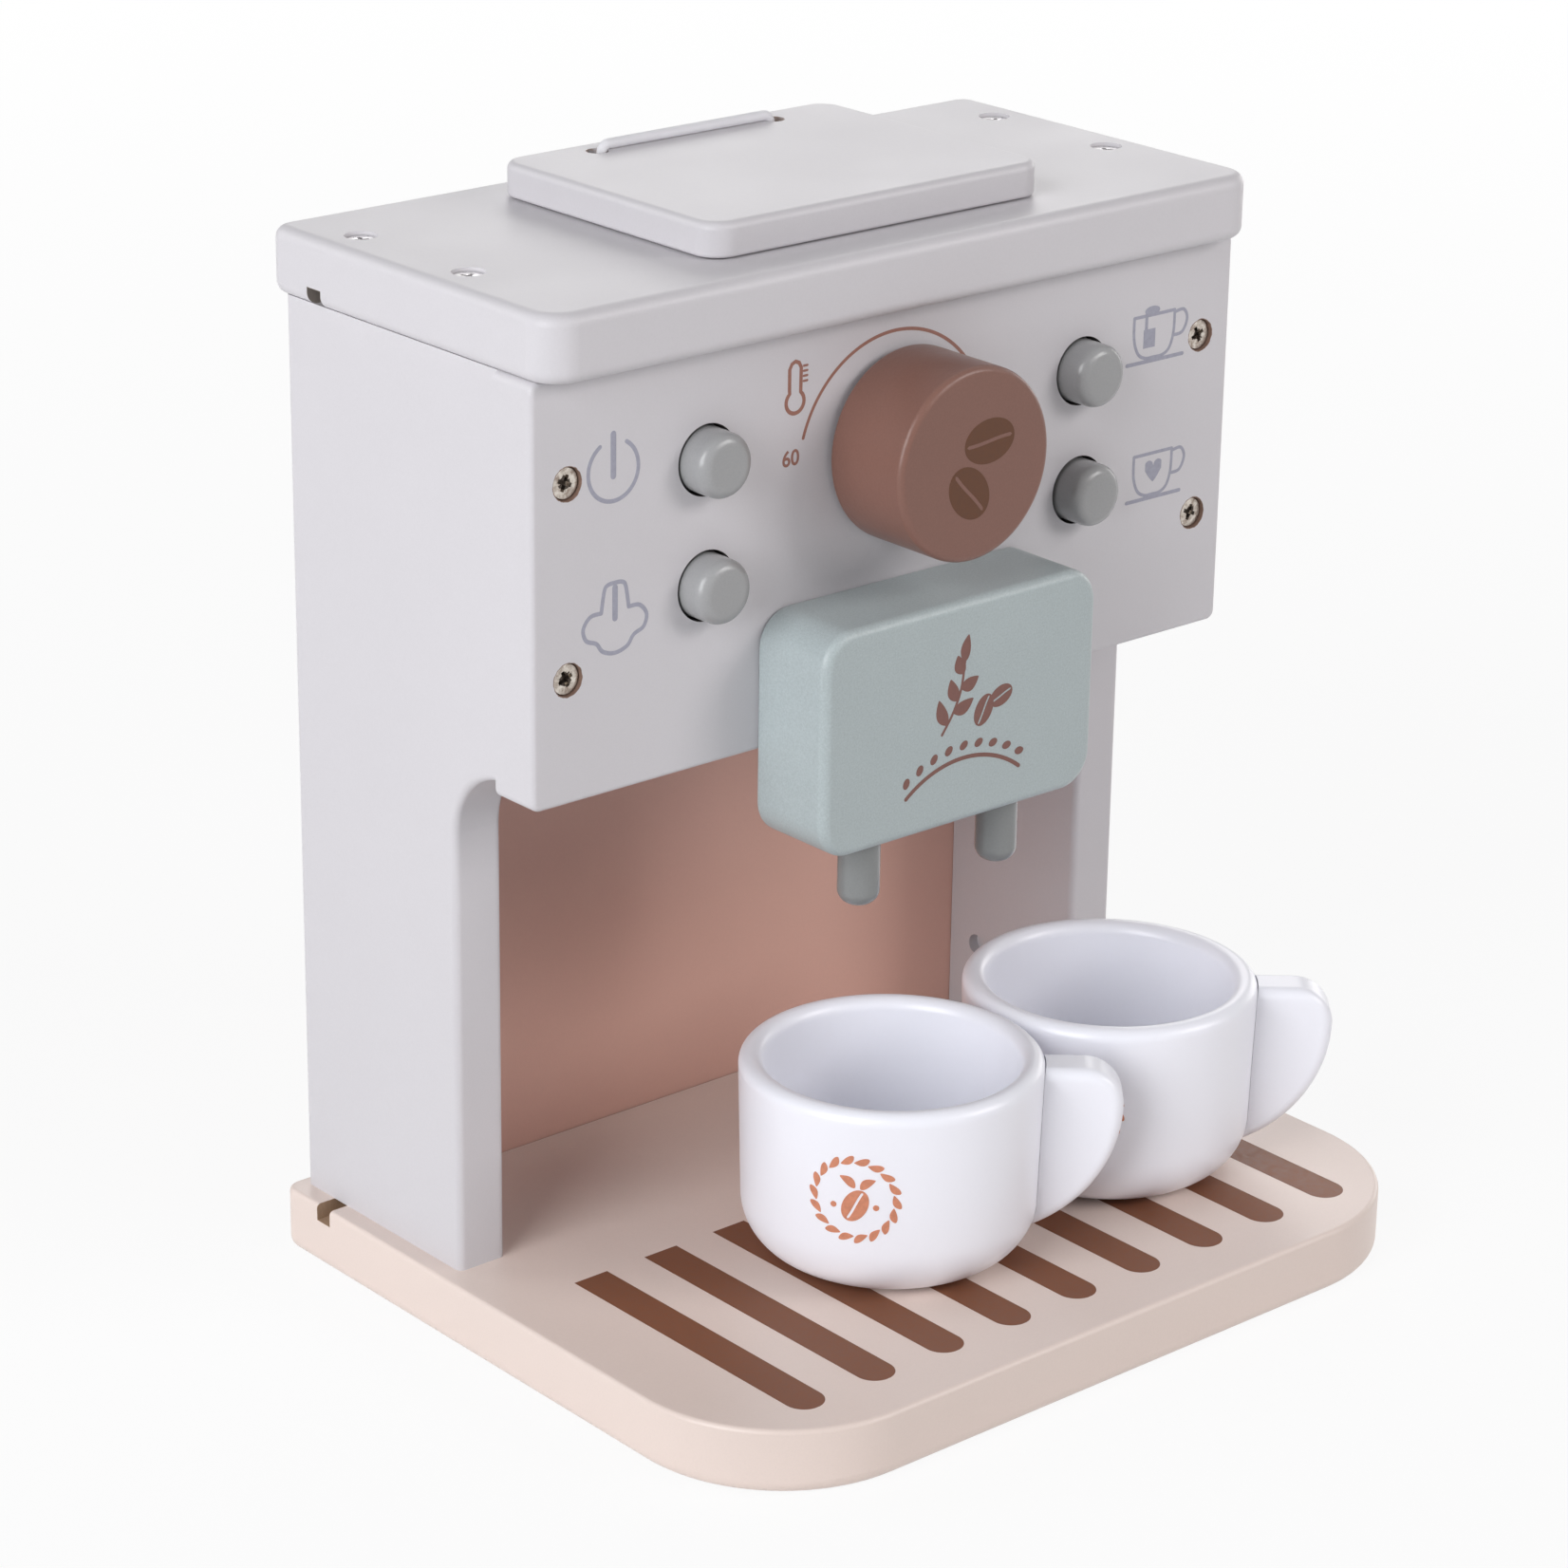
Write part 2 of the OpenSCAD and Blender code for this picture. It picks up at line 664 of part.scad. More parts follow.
module front_panel() {
    height = top_z - panel_z;
    color(wall_paint) difference() {
        translate([0, panel_rear_y, panel_z])
            upright_board(front_w, height, front_t, front_corner_r, front_edge_r, 0);
        for (side = [-1, 1], row = [0, 1]) at_button(side, row) {
            translate([0, 0, -panel_rear_y - through])
                cylinder(h = front_t + 2 * through, d = button_hole_d);
            translate([0, 0, -panel_rear_y - through])
                cylinder(h = front_t - shoulder_t + through, d = flange_d + 2 * free_play);
        }
        at_knob() translate([0, 0, -panel_rear_y - through])
            cylinder(h = front_t + 2 * through, d = axle_d + 2 * run_play);
        at_front_screws() translate([0, 0, -screw_sink])
            clamp_hole(front_t + through, screw_d, screw_head_d);
        at_block_screws() translate([0, 0, -screw_sink])
            clamp_hole(front_t + through, screw_d, screw_head_d);
        for (side = [-1, 1]) at_guide_screws(side) translate([0, 0, -screw_sink])
            pilot_hole(small_screw_l, small_screw_d);
    }
}

// ---- Brewing block ----

module brewing_block() {
    color(block_paint) difference() {
        translate([0, panel_face_y, block_z])
            upright_board(block_w, block_h, block_d, block_corner_r, block_edge_r, block_rear_r);
        for (side = [-1, 1]) translate([side * spout_pitch / 2, spout_y, block_z - through])
            cylinder(h = spout_depth + through + seat_play, d = spout_d + 2 * seat_play);
        at_block_screws() translate([0, 0, -screw_sink]) pilot_hole(block_screw_l, screw_d);
    }
}

module spout(side) {
    color(grey_paint) translate([side * spout_pitch / 2, spout_y, block_z - spout_reach])
        turned(spout_d, spout_reach + spout_depth, 0, spout_end_r);
}

module spout_left() { spout(-1); }

module spout_right() { spout(1); }

// ---- Lid and elastic cord ----

module lid() {
    color(wall_paint) difference() {
        translate([0, lid_rear_y - lid_d / 2, lid_z])
            board(lid_w, lid_d, lid_t, lid_corner_r, lid_corner_r, lid_edge_r, lid_foot_r);
        at_cord_holes() translate([0, 0, lid_z - through])
            cylinder(h = lid_t + 2 * through, d = cord_hole_d);
    }
}

module elastic_loop() {
    run = cord_span - 2 * cord_bend_r;
    bend_z = cord_run_z - cord_bend_r;
    color(elastic_white) translate([0, cord_y, 0]) {
        translate([-run / 2, 0, cord_run_z]) rotate([0, 90, 0]) cylinder(h = run, r = cord_r);
        for (side = [0, 1]) mirror([side, 0, 0]) {
            translate([run / 2, 0, bend_z]) rotate([90, 0, 0])
                rotate_extrude(angle = 90) translate([cord_bend_r, 0]) circle(r = cord_r);
            translate([cord_span / 2, 0, lid_z]) cylinder(h = bend_z - lid_z, r = cord_r);
        }
    }
}

module elastic_tails() {
    color(elastic_white) at_cord_holes() {
        translate([0, 0, knot_z]) cylinder(h = crown_z - knot_z, r = cord_r);
        translate([0, 0, knot_z]) sphere(r = knot_r);
    }
}

// ---- Knob ----

module knob() {
    color(knob_paint) at_knob() translate([0, 0, -knob_rear_y]) difference() {
        turned(knob_d, knob_t, knob_edge_r, knob_rear_r);
        translate([0, 0, -through])
            cylinder(h = axle_depth + through + seat_play, d = axle_d + 2 * seat_play);
    }
}

module knob_axle() {
    length = axle_depth + axle_rear_y - knob_rear_y;
    color(raw_board) at_knob() difference() {
        translate([0, 0, -axle_rear_y]) cylinder(h = length, d = axle_d);
        translate([0, 0, -axle_rear_y - washer_t]) rotate([180, 0, 0])
            pilot_hole(small_screw_l, small_screw_d);
    }
}

module knob_spacer() {
    color(spacer_grey) at_knob() translate([0, 0, -knob_rear_y - spacer_t]) difference() {
        cylinder(h = spacer_t, d = spacer_d);
        translate([0, 0, -through])
            cylinder(h = spacer_t + 2 * through, d = axle_d + 2 * shank_play);
    }
}

module axle_washer() {
    color(steel) at_knob() translate([0, 0, -axle_rear_y - washer_t]) difference() {
        cylinder(h = washer_t, d = washer_d);
        translate([0, 0, -through])
            cylinder(h = washer_t + 2 * through, d = small_screw_d + 2 * shank_play);
    }
}

module axle_screw() {
    color(steel) at_knob() translate([0, 0, -axle_rear_y - washer_t])
        rotate([180, 0, 0]) pan_screw(small_screw_l, small_screw_d, small_head_d);
}

// ---- Buttons ----

module button(side, row) {
    flange_rear_y = flange_y + flange_t;
    stem_l = guide_rear_y - flange_rear_y - shank_play;
    color(grey_paint) at_button(side, row) translate([0, 0, -flange_rear_y]) {
        turned(button_d, flange_rear_y - panel_face_y + button_reach, button_edge_r, 0);
        cylinder(h = flange_t, d = flange_d);
        translate([0, 0, -stem_l]) cylinder(h = stem_l, d = stem_d);
    }
}

module power_button() { button(-1, 0); }

module steam_button() { button(-1, 1); }

module tea_button() { button(1, 0); }

module coffee_button() { button(1, 1); }

module button_spring(side, row) {
    color(steel) at_button(side, row) translate([0, 0, -spring_rear_y]) coil_spring(spring_l);
}

module power_spring() { button_spring(-1, 0); }

module steam_spring() { button_spring(-1, 1); }

module tea_spring() { button_spring(1, 0); }

module coffee_spring() { button_spring(1, 1); }

module button_guide(side) {
    height = button_pitch_z + 2 * guide_margin;
    color(raw_board) difference() {
        translate([side * button_pitch_x / 2 - guide_w / 2, panel_rear_y, guide_z - height / 2])
            cube([guide_w, guide_t, height]);
        for (row = [0, 1]) at_button(side, row) {
            translate([0, 0, -guide_rear_y - through])
                cylinder(h = guide_t + 2 * through, d = stem_d + 2 * run_play);
            translate([0, 0, -panel_rear_y - pocket_depth])
                cylinder(h = pocket_depth + through, d = pocket_d);
        }
        at_guide_screws(side) translate([0, 0, -screw_sink])
            clamp_hole(guide_t + through, small_screw_d, small_head_d);
    }
}

module button_guide_left() { button_guide(-1); }

module button_guide_right() { button_guide(1); }

// ---- Cups ----

// Half section of a cup's outside: rounded foot, slightly flared wall
module cup_outline() {
    square([cup_foot_r - cup_round_r, cup_round_r]);
    intersection() {
        translate([cup_foot_r - cup_round_r, cup_round_r]) circle(r = cup_round_r);
        square([cup_foot_r, cup_round_r]);
    }
    polygon([[0, cup_round_r], [cup_foot_r, cup_round_r], [cup_r, cup_h - rim_r],
        [cup_r, cup_h], [0, cup_h]]);
}

// Half section of the space inside a cup
module cup_hollow() {
    inner_r = cup_r - cup_wall;
    floor_r = cup_foot_r - cup_wall;
    translate([0, cup_floor]) square([floor_r - cup_bowl_r, cup_bowl_r]);
    intersection() {
        translate([floor_r - cup_bowl_r, cup_floor + cup_bowl_r]) circle(r = cup_bowl_r);
        translate([0, cup_floor]) square([floor_r, cup_bowl_r]);
    }
    polygon([[0, cup_floor + cup_bowl_r], [floor_r, cup_floor + cup_bowl_r],
        [inner_r, cup_h - rim_r], [inner_r, cup_h + through], [0, cup_h + through]]);
}

module cup(x, y) {
    color(cup_paint) translate([x, y, rest_z]) rotate_extrude() {
        difference() {
            cup_outline();
            cup_hollow();
            translate([0, cup_h - rim_r]) square([cup_r + through, cup_h]);
        }
        translate([cup_r - rim_r, cup_h - rim_r]) circle(r = rim_r);
    }
}

// Ear-shaped slab glued to the cup's wall: a small upper corner above a large lower sweep
module handle(x, y) {
    top = cup_h - handle_drop;
    corner_z = top - handle_top_r;
    sweep_r = corner_z - handle_rise;
    e = handle_edge_r;
    color(cup_paint) translate([x, y, rest_z]) difference() {
        rotate(handle_turn) translate([0, handle_t / 2, 0]) rotate([90, 0, 0]) {
            translate([handle_reach - handle_top_r, corner_z, 0])
                rotate_extrude(angle = 90) rim_profile(handle_top_r, handle_t, e, e);
            translate([handle_reach - sweep_r, corner_z, 0]) {
                rotate([0, 0, -90])
                    rotate_extrude(angle = 90) rim_profile(sweep_r, handle_t, e, e);
                rotate([90, 0, 90]) linear_extrude(sweep_r - handle_top_r)
                    rim_profile(handle_top_r, handle_t, e, e);
            }
        }
        rotate_extrude() grown_cup_outline();
    }
}

// The cup's outside, grown by the glue gap
module grown_cup_outline() {
    translate([seat_play, 0]) cup_outline();
    square([seat_play, cup_h]);
}

module cup_left() { cup(cup_left_x, rear_y - cup_left_y); }

module cup_left_handle() { handle(cup_left_x, rear_y - cup_left_y); }

module cup_right() { cup(cup_right_x, rear_y - cup_right_y); }

module cup_right_handle() { handle(cup_right_x, rear_y - cup_right_y); }

// ---- Screws ----

module front_screws() {
    color(steel) at_front_screws() translate([0, 0, -screw_sink])
        screw(front_screw_l, screw_d, screw_head_d);
}

module top_screws() {
    color(steel) at_side_screws(top_screw_rear, top_screw_pitch)
        translate([0, 0, crown_z - screw_sink]) screw(board_screw_l, screw_d, screw_head_d);
}

module base_screws() {
    color(steel) at_side_screws(base_screw_rear, base_screw_pitch) translate([0, 0, screw_sink])
        rotate([180, 0, 0]) screw(board_screw_l, screw_d, screw_head_d);
}

module block_screws() {
    color(steel) at_block_screws() translate([0, 0, -screw_sink])
        screw(block_screw_l, screw_d, screw_head_d);
}

module guide_screws() {
    color(steel) for (side = [-1, 1]) at_guide_screws(side) translate([0, 0, -screw_sink])
        screw(small_screw_l, small_screw_d, small_head_d);
}

base();
side_left();
side_right();
rear_panel();
shelf();
top_board();
front_panel();
brewing_block();
spout_left();
spout_right();
button_guide_left();
button_guide_right();
power_spring();
steam_spring();
tea_spring();
coffee_spring();
elastic_tails();
front_screws();
top_screws();
base_screws();
block_screws();
guide_screws();
lid();
elastic_loop();
knob();
knob_axle();
knob_spacer();
axle_washer();
axle_screw();
power_button();
steam_button();
tea_button();
coffee_button();
cup_left();
cup_left_handle();
cup_right();
cup_right_handle();
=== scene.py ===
import math

import bpy
import bmesh
from mathutils import Matrix, Vector


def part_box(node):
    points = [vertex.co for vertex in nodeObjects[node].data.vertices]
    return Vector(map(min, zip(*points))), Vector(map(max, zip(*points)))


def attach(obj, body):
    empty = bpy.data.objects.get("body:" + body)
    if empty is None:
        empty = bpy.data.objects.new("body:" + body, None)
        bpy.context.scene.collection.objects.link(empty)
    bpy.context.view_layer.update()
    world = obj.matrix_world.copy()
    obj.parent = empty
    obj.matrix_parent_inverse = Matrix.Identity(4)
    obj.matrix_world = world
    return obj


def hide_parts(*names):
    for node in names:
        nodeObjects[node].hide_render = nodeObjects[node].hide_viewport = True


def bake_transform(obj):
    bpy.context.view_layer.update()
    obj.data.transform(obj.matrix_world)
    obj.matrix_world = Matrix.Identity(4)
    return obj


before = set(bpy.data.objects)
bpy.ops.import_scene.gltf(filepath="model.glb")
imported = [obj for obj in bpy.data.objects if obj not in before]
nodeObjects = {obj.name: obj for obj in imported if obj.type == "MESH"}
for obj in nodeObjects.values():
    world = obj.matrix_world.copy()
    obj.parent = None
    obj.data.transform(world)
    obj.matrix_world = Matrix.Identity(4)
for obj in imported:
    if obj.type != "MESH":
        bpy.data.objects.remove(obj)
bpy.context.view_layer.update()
print("frame: the coffee maker's boards, knob, buttons and cups are in place")

mm = 0.001


def lowest(node):
    return Vector(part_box(node)[0])


def highest(node):
    return Vector(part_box(node)[1])


def addObject(name, data):
    made = bpy.data.objects.new(name, data)
    bpy.context.scene.collection.objects.link(made)
    return made


# Node helpers

def wire(tree, source, target):
    tree.links.new(source, target)


def addNode(tree, kind, place=(0, 0), **settings):
    node = tree.nodes.new(kind)
    node.location = place
    for name, value in settings.items():
        setattr(node, name, value)
    return node


def mathNode(tree, operation, first, second=None):
    node = addNode(tree, "ShaderNodeMath", operation=operation)
    for socket, value in zip(node.inputs, (first, second)):
        if value is None:
            continue
        if isinstance(value, (int, float)):
            socket.default_value = value
        else:
            wire(tree, value, socket)
    return node.outputs[0]


def mixColor(tree, factor, first, second, blend="MIX"):
    node = addNode(tree, "ShaderNodeMix", data_type="RGBA", blend_type=blend)
    for index, value in ((0, factor), (6, first), (7, second)):
        if hasattr(value, "is_output"):
            wire(tree, value, node.inputs[index])
        elif isinstance(value, (int, float)):
            node.inputs[index].default_value = value
        else:
            node.inputs[index].default_value = (*value[:3], 1)
    return node.outputs[2]


def newGroup(name, inputs, outputs):
    tree = bpy.data.node_groups.new(name, "ShaderNodeTree")
    for title, kind, value in inputs:
        socket = tree.interface.new_socket(name=title, in_out="INPUT", socket_type=kind)
        socket.default_value = value
    for title, kind in outputs:
        tree.interface.new_socket(name=title, in_out="OUTPUT", socket_type=kind)
    return tree, addNode(tree, "NodeGroupInput", (-900, 0)), addNode(tree, "NodeGroupOutput", (700, 0))


def noise(tree, vector, scale, detail, roughness=0.5, place=(0, 0)):
    node = addNode(tree, "ShaderNodeTexNoise", place)
    node.inputs["Detail"].default_value = detail
    node.inputs["Roughness"].default_value = roughness
    wire(tree, vector, node.inputs["Vector"])
    if isinstance(scale, (int, float)):
        node.inputs["Scale"].default_value = scale
    else:
        wire(tree, scale, node.inputs["Scale"])
    return node.outputs["Fac"]


def remap(tree, value, low, high, toLow, toHigh):
    node = addNode(tree, "ShaderNodeMapRange")
    wire(tree, value, node.inputs["Value"])
    for title, number in (("From Min", low), ("From Max", high), ("To Min", toLow), ("To Max", toHigh)):
        if isinstance(number, (int, float)):
            node.inputs[title].default_value = number
        else:
            wire(tree, number, node.inputs[title])
    return node.outputs["Result"]


# Shader groups shared by several finishes

# Sprayed paint: cloudy colour, fine dust specks, orange peel
def makeSprayedPaint():
    tree, ins, outs = newGroup(
        "sprayedPaint",
        [("Color", "NodeSocketColor", (0.7, 0.7, 0.7, 1)), ("Clouding", "NodeSocketFloat", 0.03),
         ("Specks", "NodeSocketFloat", 0.03), ("Gloss", "NodeSocketFloat", 0.45),
         ("Gloss Spread", "NodeSocketFloat", 0.16), ("Peel Scale", "NodeSocketFloat", 700.0),
         ("Grit", "NodeSocketFloat", 0.3)],
        [("Color", "NodeSocketColor"), ("Roughness", "NodeSocketFloat"), ("Height", "NodeSocketFloat")])
    here = addNode(tree, "ShaderNodeTexCoord", (-900, -300)).outputs["Object"]
    cloud = noise(tree, here, 34.0, 3.0, 0.55, (-700, 200))
    dust = noise(tree, here, 2600.0, 1.0, 0.4, (-700, 0))
    peel = noise(tree, here, ins.outputs["Peel Scale"], 2.0, 0.45, (-700, -200))
    grit = noise(tree, here, 5200.0, 1.0, 0.5, (-700, -400))
    cloudShift = mathNode(tree, "MULTIPLY", mathNode(tree, "SUBTRACT", cloud, 0.5), ins.outputs["Clouding"])
    dustShift = mathNode(tree, "MULTIPLY", mathNode(tree, "SUBTRACT", dust, 0.5), ins.outputs["Specks"])
    level = mathNode(tree, "ADD", mathNode(tree, "ADD", cloudShift, dustShift), 1.0)
    shade = addNode(tree, "ShaderNodeCombineColor", (0, 200))
    for socket in shade.inputs[:3]:
        wire(tree, level, socket)
    tinted = mixColor(tree, 1.0, ins.outputs["Color"], shade.outputs[0], "MULTIPLY")
    wire(tree, tinted, outs.inputs["Color"])
    rough = mathNode(tree, "ADD", ins.outputs["Gloss"],
                     mathNode(tree, "MULTIPLY", mathNode(tree, "SUBTRACT", cloud, 0.5),
                              ins.outputs["Gloss Spread"]))
    wire(tree, rough, outs.inputs["Roughness"])
    height = mathNode(tree, "ADD", peel, mathNode(tree, "MULTIPLY", grit, ins.outputs["Grit"]))
    wire(tree, height, outs.inputs["Height"])
    return tree


# Mask in and round four holes, which lie mirrored across X = 0, for bare wood and for painted shade
def makeHoleRims():
    tree, ins, outs = newGroup(
        "holeRims",
        [("Along", "NodeSocketFloat", 0.0), ("Across", "NodeSocketFloat", 0.08),
         ("First", "NodeSocketFloat", 0.18), ("Second", "NodeSocketFloat", 0.14),
         ("Radius", "NodeSocketFloat", 0.004), ("Ragged", "NodeSocketFloat", 0.0006)],
        [("Mask", "NodeSocketFloat")])
    here = addNode(tree, "ShaderNodeTexCoord", (-900, -300)).outputs["Object"]
    parts = addNode(tree, "ShaderNodeSeparateXYZ", (-700, -300))
    wire(tree, here, parts.inputs[0])
    mirrored = mathNode(tree, "ABSOLUTE", parts.outputs[0])
    sideways = mathNode(tree, "SUBTRACT", mirrored, ins.outputs["Across"])
    distances = []
    for title in ("First", "Second"):
        lengthways = mathNode(tree, "SUBTRACT", ins.outputs["Along"], ins.outputs[title])
        squares = mathNode(tree, "ADD", mathNode(tree, "MULTIPLY", sideways, sideways),
                           mathNode(tree, "MULTIPLY", lengthways, lengthways))
        distances.append(mathNode(tree, "SQRT", squares))
    nearest = mathNode(tree, "MINIMUM", *distances)
    tear = noise(tree, here, 900.0, 3.0, 0.6)
    ragged = mathNode(tree, "MULTIPLY", mathNode(tree, "SUBTRACT", tear, 0.5), ins.outputs["Ragged"])
    edge = mathNode(tree, "ADD", nearest, ragged)
    limit = ins.outputs["Radius"]
    mask = remap(tree, edge, mathNode(tree, "SUBTRACT", limit, 0.08 * mm), limit, 1.0, 0.0)
    wire(tree, mask, outs.inputs["Mask"])
    return tree


# Tarnish of plated screws: brown film in the low spots
def makeTarnish():
    tree, ins, outs = newGroup(
        "tarnish",
        [("Metal", "NodeSocketColor", (0.7, 0.68, 0.66, 1)),
         ("Film", "NodeSocketColor", (0.2, 0.14, 0.1, 1)), ("Amount", "NodeSocketFloat", 0.5)],
        [("Color", "NodeSocketColor"), ("Roughness", "NodeSocketFloat"), ("Height", "NodeSocketFloat")])
    here = addNode(tree, "ShaderNodeTexCoord", (-900, -300)).outputs["Object"]
    blotch = noise(tree, here, 650.0, 4.0, 0.65)
    scratch = noise(tree, here, 3800.0, 2.0, 0.5)
    cover = remap(tree, blotch, 0.4, 0.62, 0.0, ins.outputs["Amount"])
    wire(tree, mixColor(tree, cover, ins.outputs["Metal"], ins.outputs["Film"]), outs.inputs["Color"])
    wire(tree, mathNode(tree, "ADD", mathNode(tree, "MULTIPLY", cover, 0.4), 0.24), outs.inputs["Roughness"])
    wire(tree, mathNode(tree, "ADD", scratch, blotch), outs.inputs["Height"])
    return tree


# Fibreboard or beech where no paint covers it; it also gives the near-black and grey tones of painted shade
# in holes and recesses
def makeWoodAndShadeTone():
    tree, ins, outs = newGroup(
        "woodAndShadeTone",
        [("Light", "NodeSocketColor", (0.5, 0.33, 0.2, 1)),
         ("Dark", "NodeSocketColor", (0.25, 0.14, 0.08, 1)),
         ("Stretch", "NodeSocketFloat", 6.0)],
        [("Color", "NodeSocketColor"), ("Height", "NodeSocketFloat")])
    here = addNode(tree, "ShaderNodeTexCoord", (-900, -300)).outputs["Object"]
    place = addNode(tree, "ShaderNodeMapping", (-700, -300))
    wire(tree, here, place.inputs["Vector"])
    scale = addNode(tree, "ShaderNodeCombineXYZ", (-900, -500))
    wire(tree, ins.outputs["Stretch"], scale.inputs[0])
    scale.inputs[1].default_value = 1.0
    scale.inputs[2].default_value = 1.0
    wire(tree, scale.outputs[0], place.inputs["Scale"])
    fibre = noise(tree, place.outputs[0], 420.0, 5.0, 0.6)
    wire(tree, mixColor(tree, fibre, ins.outputs["Dark"], ins.outputs["Light"]), outs.inputs["Color"])
    wire(tree, fibre, outs.inputs["Height"])
    return tree


sprayedPaint = makeSprayedPaint()
holeRims = makeHoleRims()
tarnish = makeTarnish()
woodAndShadeTone = makeWoodAndShadeTone()
print("shader groups: paint, hole rims, tarnish and raw wood are ready")


def newMaterial(name):
    material = bpy.data.materials.new(name)
    material.use_nodes = True
    tree = material.node_tree
    shader = next(node for node in tree.nodes if node.type == "BSDF_PRINCIPLED")
    return material, tree, shader


def placeGroup(tree, group, place=(-500, 0), **values):
    node = addNode(tree, "ShaderNodeGroup", place)
    node.node_tree = group
    for title, value in values.items():
        socket = node.inputs[title.replace("_", " ")]
        socket.default_value = (*value, 1) if isinstance(value, tuple) else value
    return node


bumpDepth = {"paint": 0.12 * mm, "steel": 0.06 * mm, "wood": 0.1 * mm, "felt": 0.2 * mm, "ink": 0.05 * mm,
             "braid": 0.15 * mm}


def addBump(tree, shader, height, strength, distance):
    bump = addNode(tree, "ShaderNodeBump", (-200, -300))
    bump.inputs["Strength"].default_value = strength
    bump.inputs["Distance"].default_value = distance
    wire(tree, height, bump.inputs["Height"])
    wire(tree, bump.outputs[0], shader.inputs["Normal"])


# Painted finishes

paintFinishes = {
    "wallPaint": dict(color=(0.612, 0.594, 0.618), gloss=0.46, clouding=0.035, specks=0.05, peel=620.0,
                      bump=0.22),
    "basePaint": dict(color=(0.768, 0.648, 0.59), gloss=0.38, clouding=0.04, specks=0.05, peel=620.0,
                      bump=0.22),
    "rearPaint": dict(color=(0.74, 0.46, 0.385), gloss=0.5, clouding=0.05, specks=0.05, peel=560.0,
                      bump=0.2),
    "blockPaint": dict(color=(0.405, 0.462, 0.47), gloss=0.35, clouding=0.09, specks=0.3, peel=900.0,
                       bump=0.65, grit=0.5),
    "greyPaint": dict(color=(0.33, 0.332, 0.336), gloss=0.22, clouding=0.05, specks=0.1, peel=900.0,
                      bump=0.25),
    "spoutPaint": dict(color=(0.225, 0.233, 0.232), gloss=0.12, clouding=0.1, specks=0.1, peel=500.0,
                       bump=0.12),
    "knobPaint": dict(color=(0.21, 0.104, 0.08), gloss=0.31, clouding=0.07, specks=0.16, peel=900.0,
                      bump=0.3, shine=0.35),
    "cupPaint": dict(color=(0.892, 0.897, 0.96), gloss=0.3, clouding=0.02, specks=0.02, peel=300.0,
                     bump=0.1, grit=0.0, spread=0.03),
}


def makePaint(name):
    finish = paintFinishes[name]
    material, tree, shader = newMaterial(name)
    coat = placeGroup(tree, sprayedPaint, Color=finish["color"], Clouding=finish["clouding"],
                      Specks=finish["specks"], Gloss=finish["gloss"], Peel_Scale=finish["peel"],
                      Grit=finish.get("grit", 0.3), Gloss_Spread=finish.get("spread", 0.16))
    shader.inputs["Specular IOR Level"].default_value = finish.get("shine", 0.5)
    wire(tree, coat.outputs["Color"], shader.inputs["Base Color"])
    wire(tree, coat.outputs["Roughness"], shader.inputs["Roughness"])
    addBump(tree, shader, coat.outputs["Height"], finish["bump"], bumpDepth["paint"])
    return material, tree, shader, coat


# Bare wood shows in the holes, and a little way round them where the paint tore; where the colours given are
# near black or grey, the same mask paints shade into holes and recesses
def woodChipsAndShade(tree, shader, coat, holes):
    here = addNode(tree, "ShaderNodeTexCoord", (-1100, 300)).outputs["Object"]
    parts = addNode(tree, "ShaderNodeSeparateXYZ", (-900, 300))
    wire(tree, here, parts.inputs[0])
    color, roughness = coat.outputs["Color"], coat.outputs["Roughness"]
    for hole in holes:
        ring = placeGroup(tree, holeRims, (-700, 300), Across=hole["across"], First=hole["first"],
                          Second=hole["second"], Radius=hole["radius"], Ragged=hole["ragged"])
        wire(tree, parts.outputs[hole["axis"]], ring.inputs["Along"])
        wood = placeGroup(tree, woodAndShadeTone, (-500, 400), Light=hole["light"], Dark=hole["dark"])
        shown = mathNode(tree, "MULTIPLY", ring.outputs["Mask"], hole["amount"])
        color = mixColor(tree, shown, color, wood.outputs["Color"])
        roughness = mathNode(tree, "ADD", roughness, mathNode(tree, "MULTIPLY", shown, 0.35))
    wire(tree, color, shader.inputs["Base Color"])
    wire(tree, roughness, shader.inputs["Roughness"])


rearMiddle = (lowest("rear_panel").y + highest("rear_panel").y) / 2
grooveHalf = (highest("rear_panel").y - lowest("rear_panel").y) / 2 + 0.15 * mm
grooveDepth = 3.5 * mm


# Bare board shows in a groove along X, in the colours given, which for the top board add painted shade;
# facing is 1 where the groove opens upwards, -1 where downwards
def grooveBoardAndShade(tree, shader, groove):
    here = addNode(tree, "ShaderNodeTexCoord", (-1100, 600)).outputs["Object"]
    parts = addNode(tree, "ShaderNodeSeparateXYZ", (-900, 600))
    wire(tree, here, parts.inputs[0])
    aside = mathNode(tree, "ABSOLUTE", mathNode(tree, "SUBTRACT", parts.outputs[1], groove["middle"]))
    within = mathNode(tree, "LESS_THAN", aside, groove["half"] + 0.1 * mm)
    inward = mathNode(tree, "MULTIPLY", mathNode(tree, "SUBTRACT", parts.outputs[2], groove["floor"]),
                      groove["facing"])
    shown = mathNode(tree, "MULTIPLY", within, mathNode(tree, "GREATER_THAN", inward, -0.1 * mm))
    wood = placeGroup(tree, woodAndShadeTone, (-500, 700), Light=groove["light"], Dark=groove["dark"])
    paint = shader.inputs["Base Color"].links[0].from_socket
    wire(tree, mixColor(tree, shown, paint, wood.outputs["Color"]), shader.inputs["Base Color"])


finishes = {}
for name in paintFinishes:
    finishes[name], paintTree, paintShader = makePaint(name)[:3]
    if name == "basePaint":
        grooveBoardAndShade(paintTree, paintShader, {
            "middle": rearMiddle, "half": grooveHalf, "floor": highest("base").z - grooveDepth, "facing": 1,
            "light": (0.5, 0.35, 0.24), "dark": (0.3, 0.19, 0.12)})

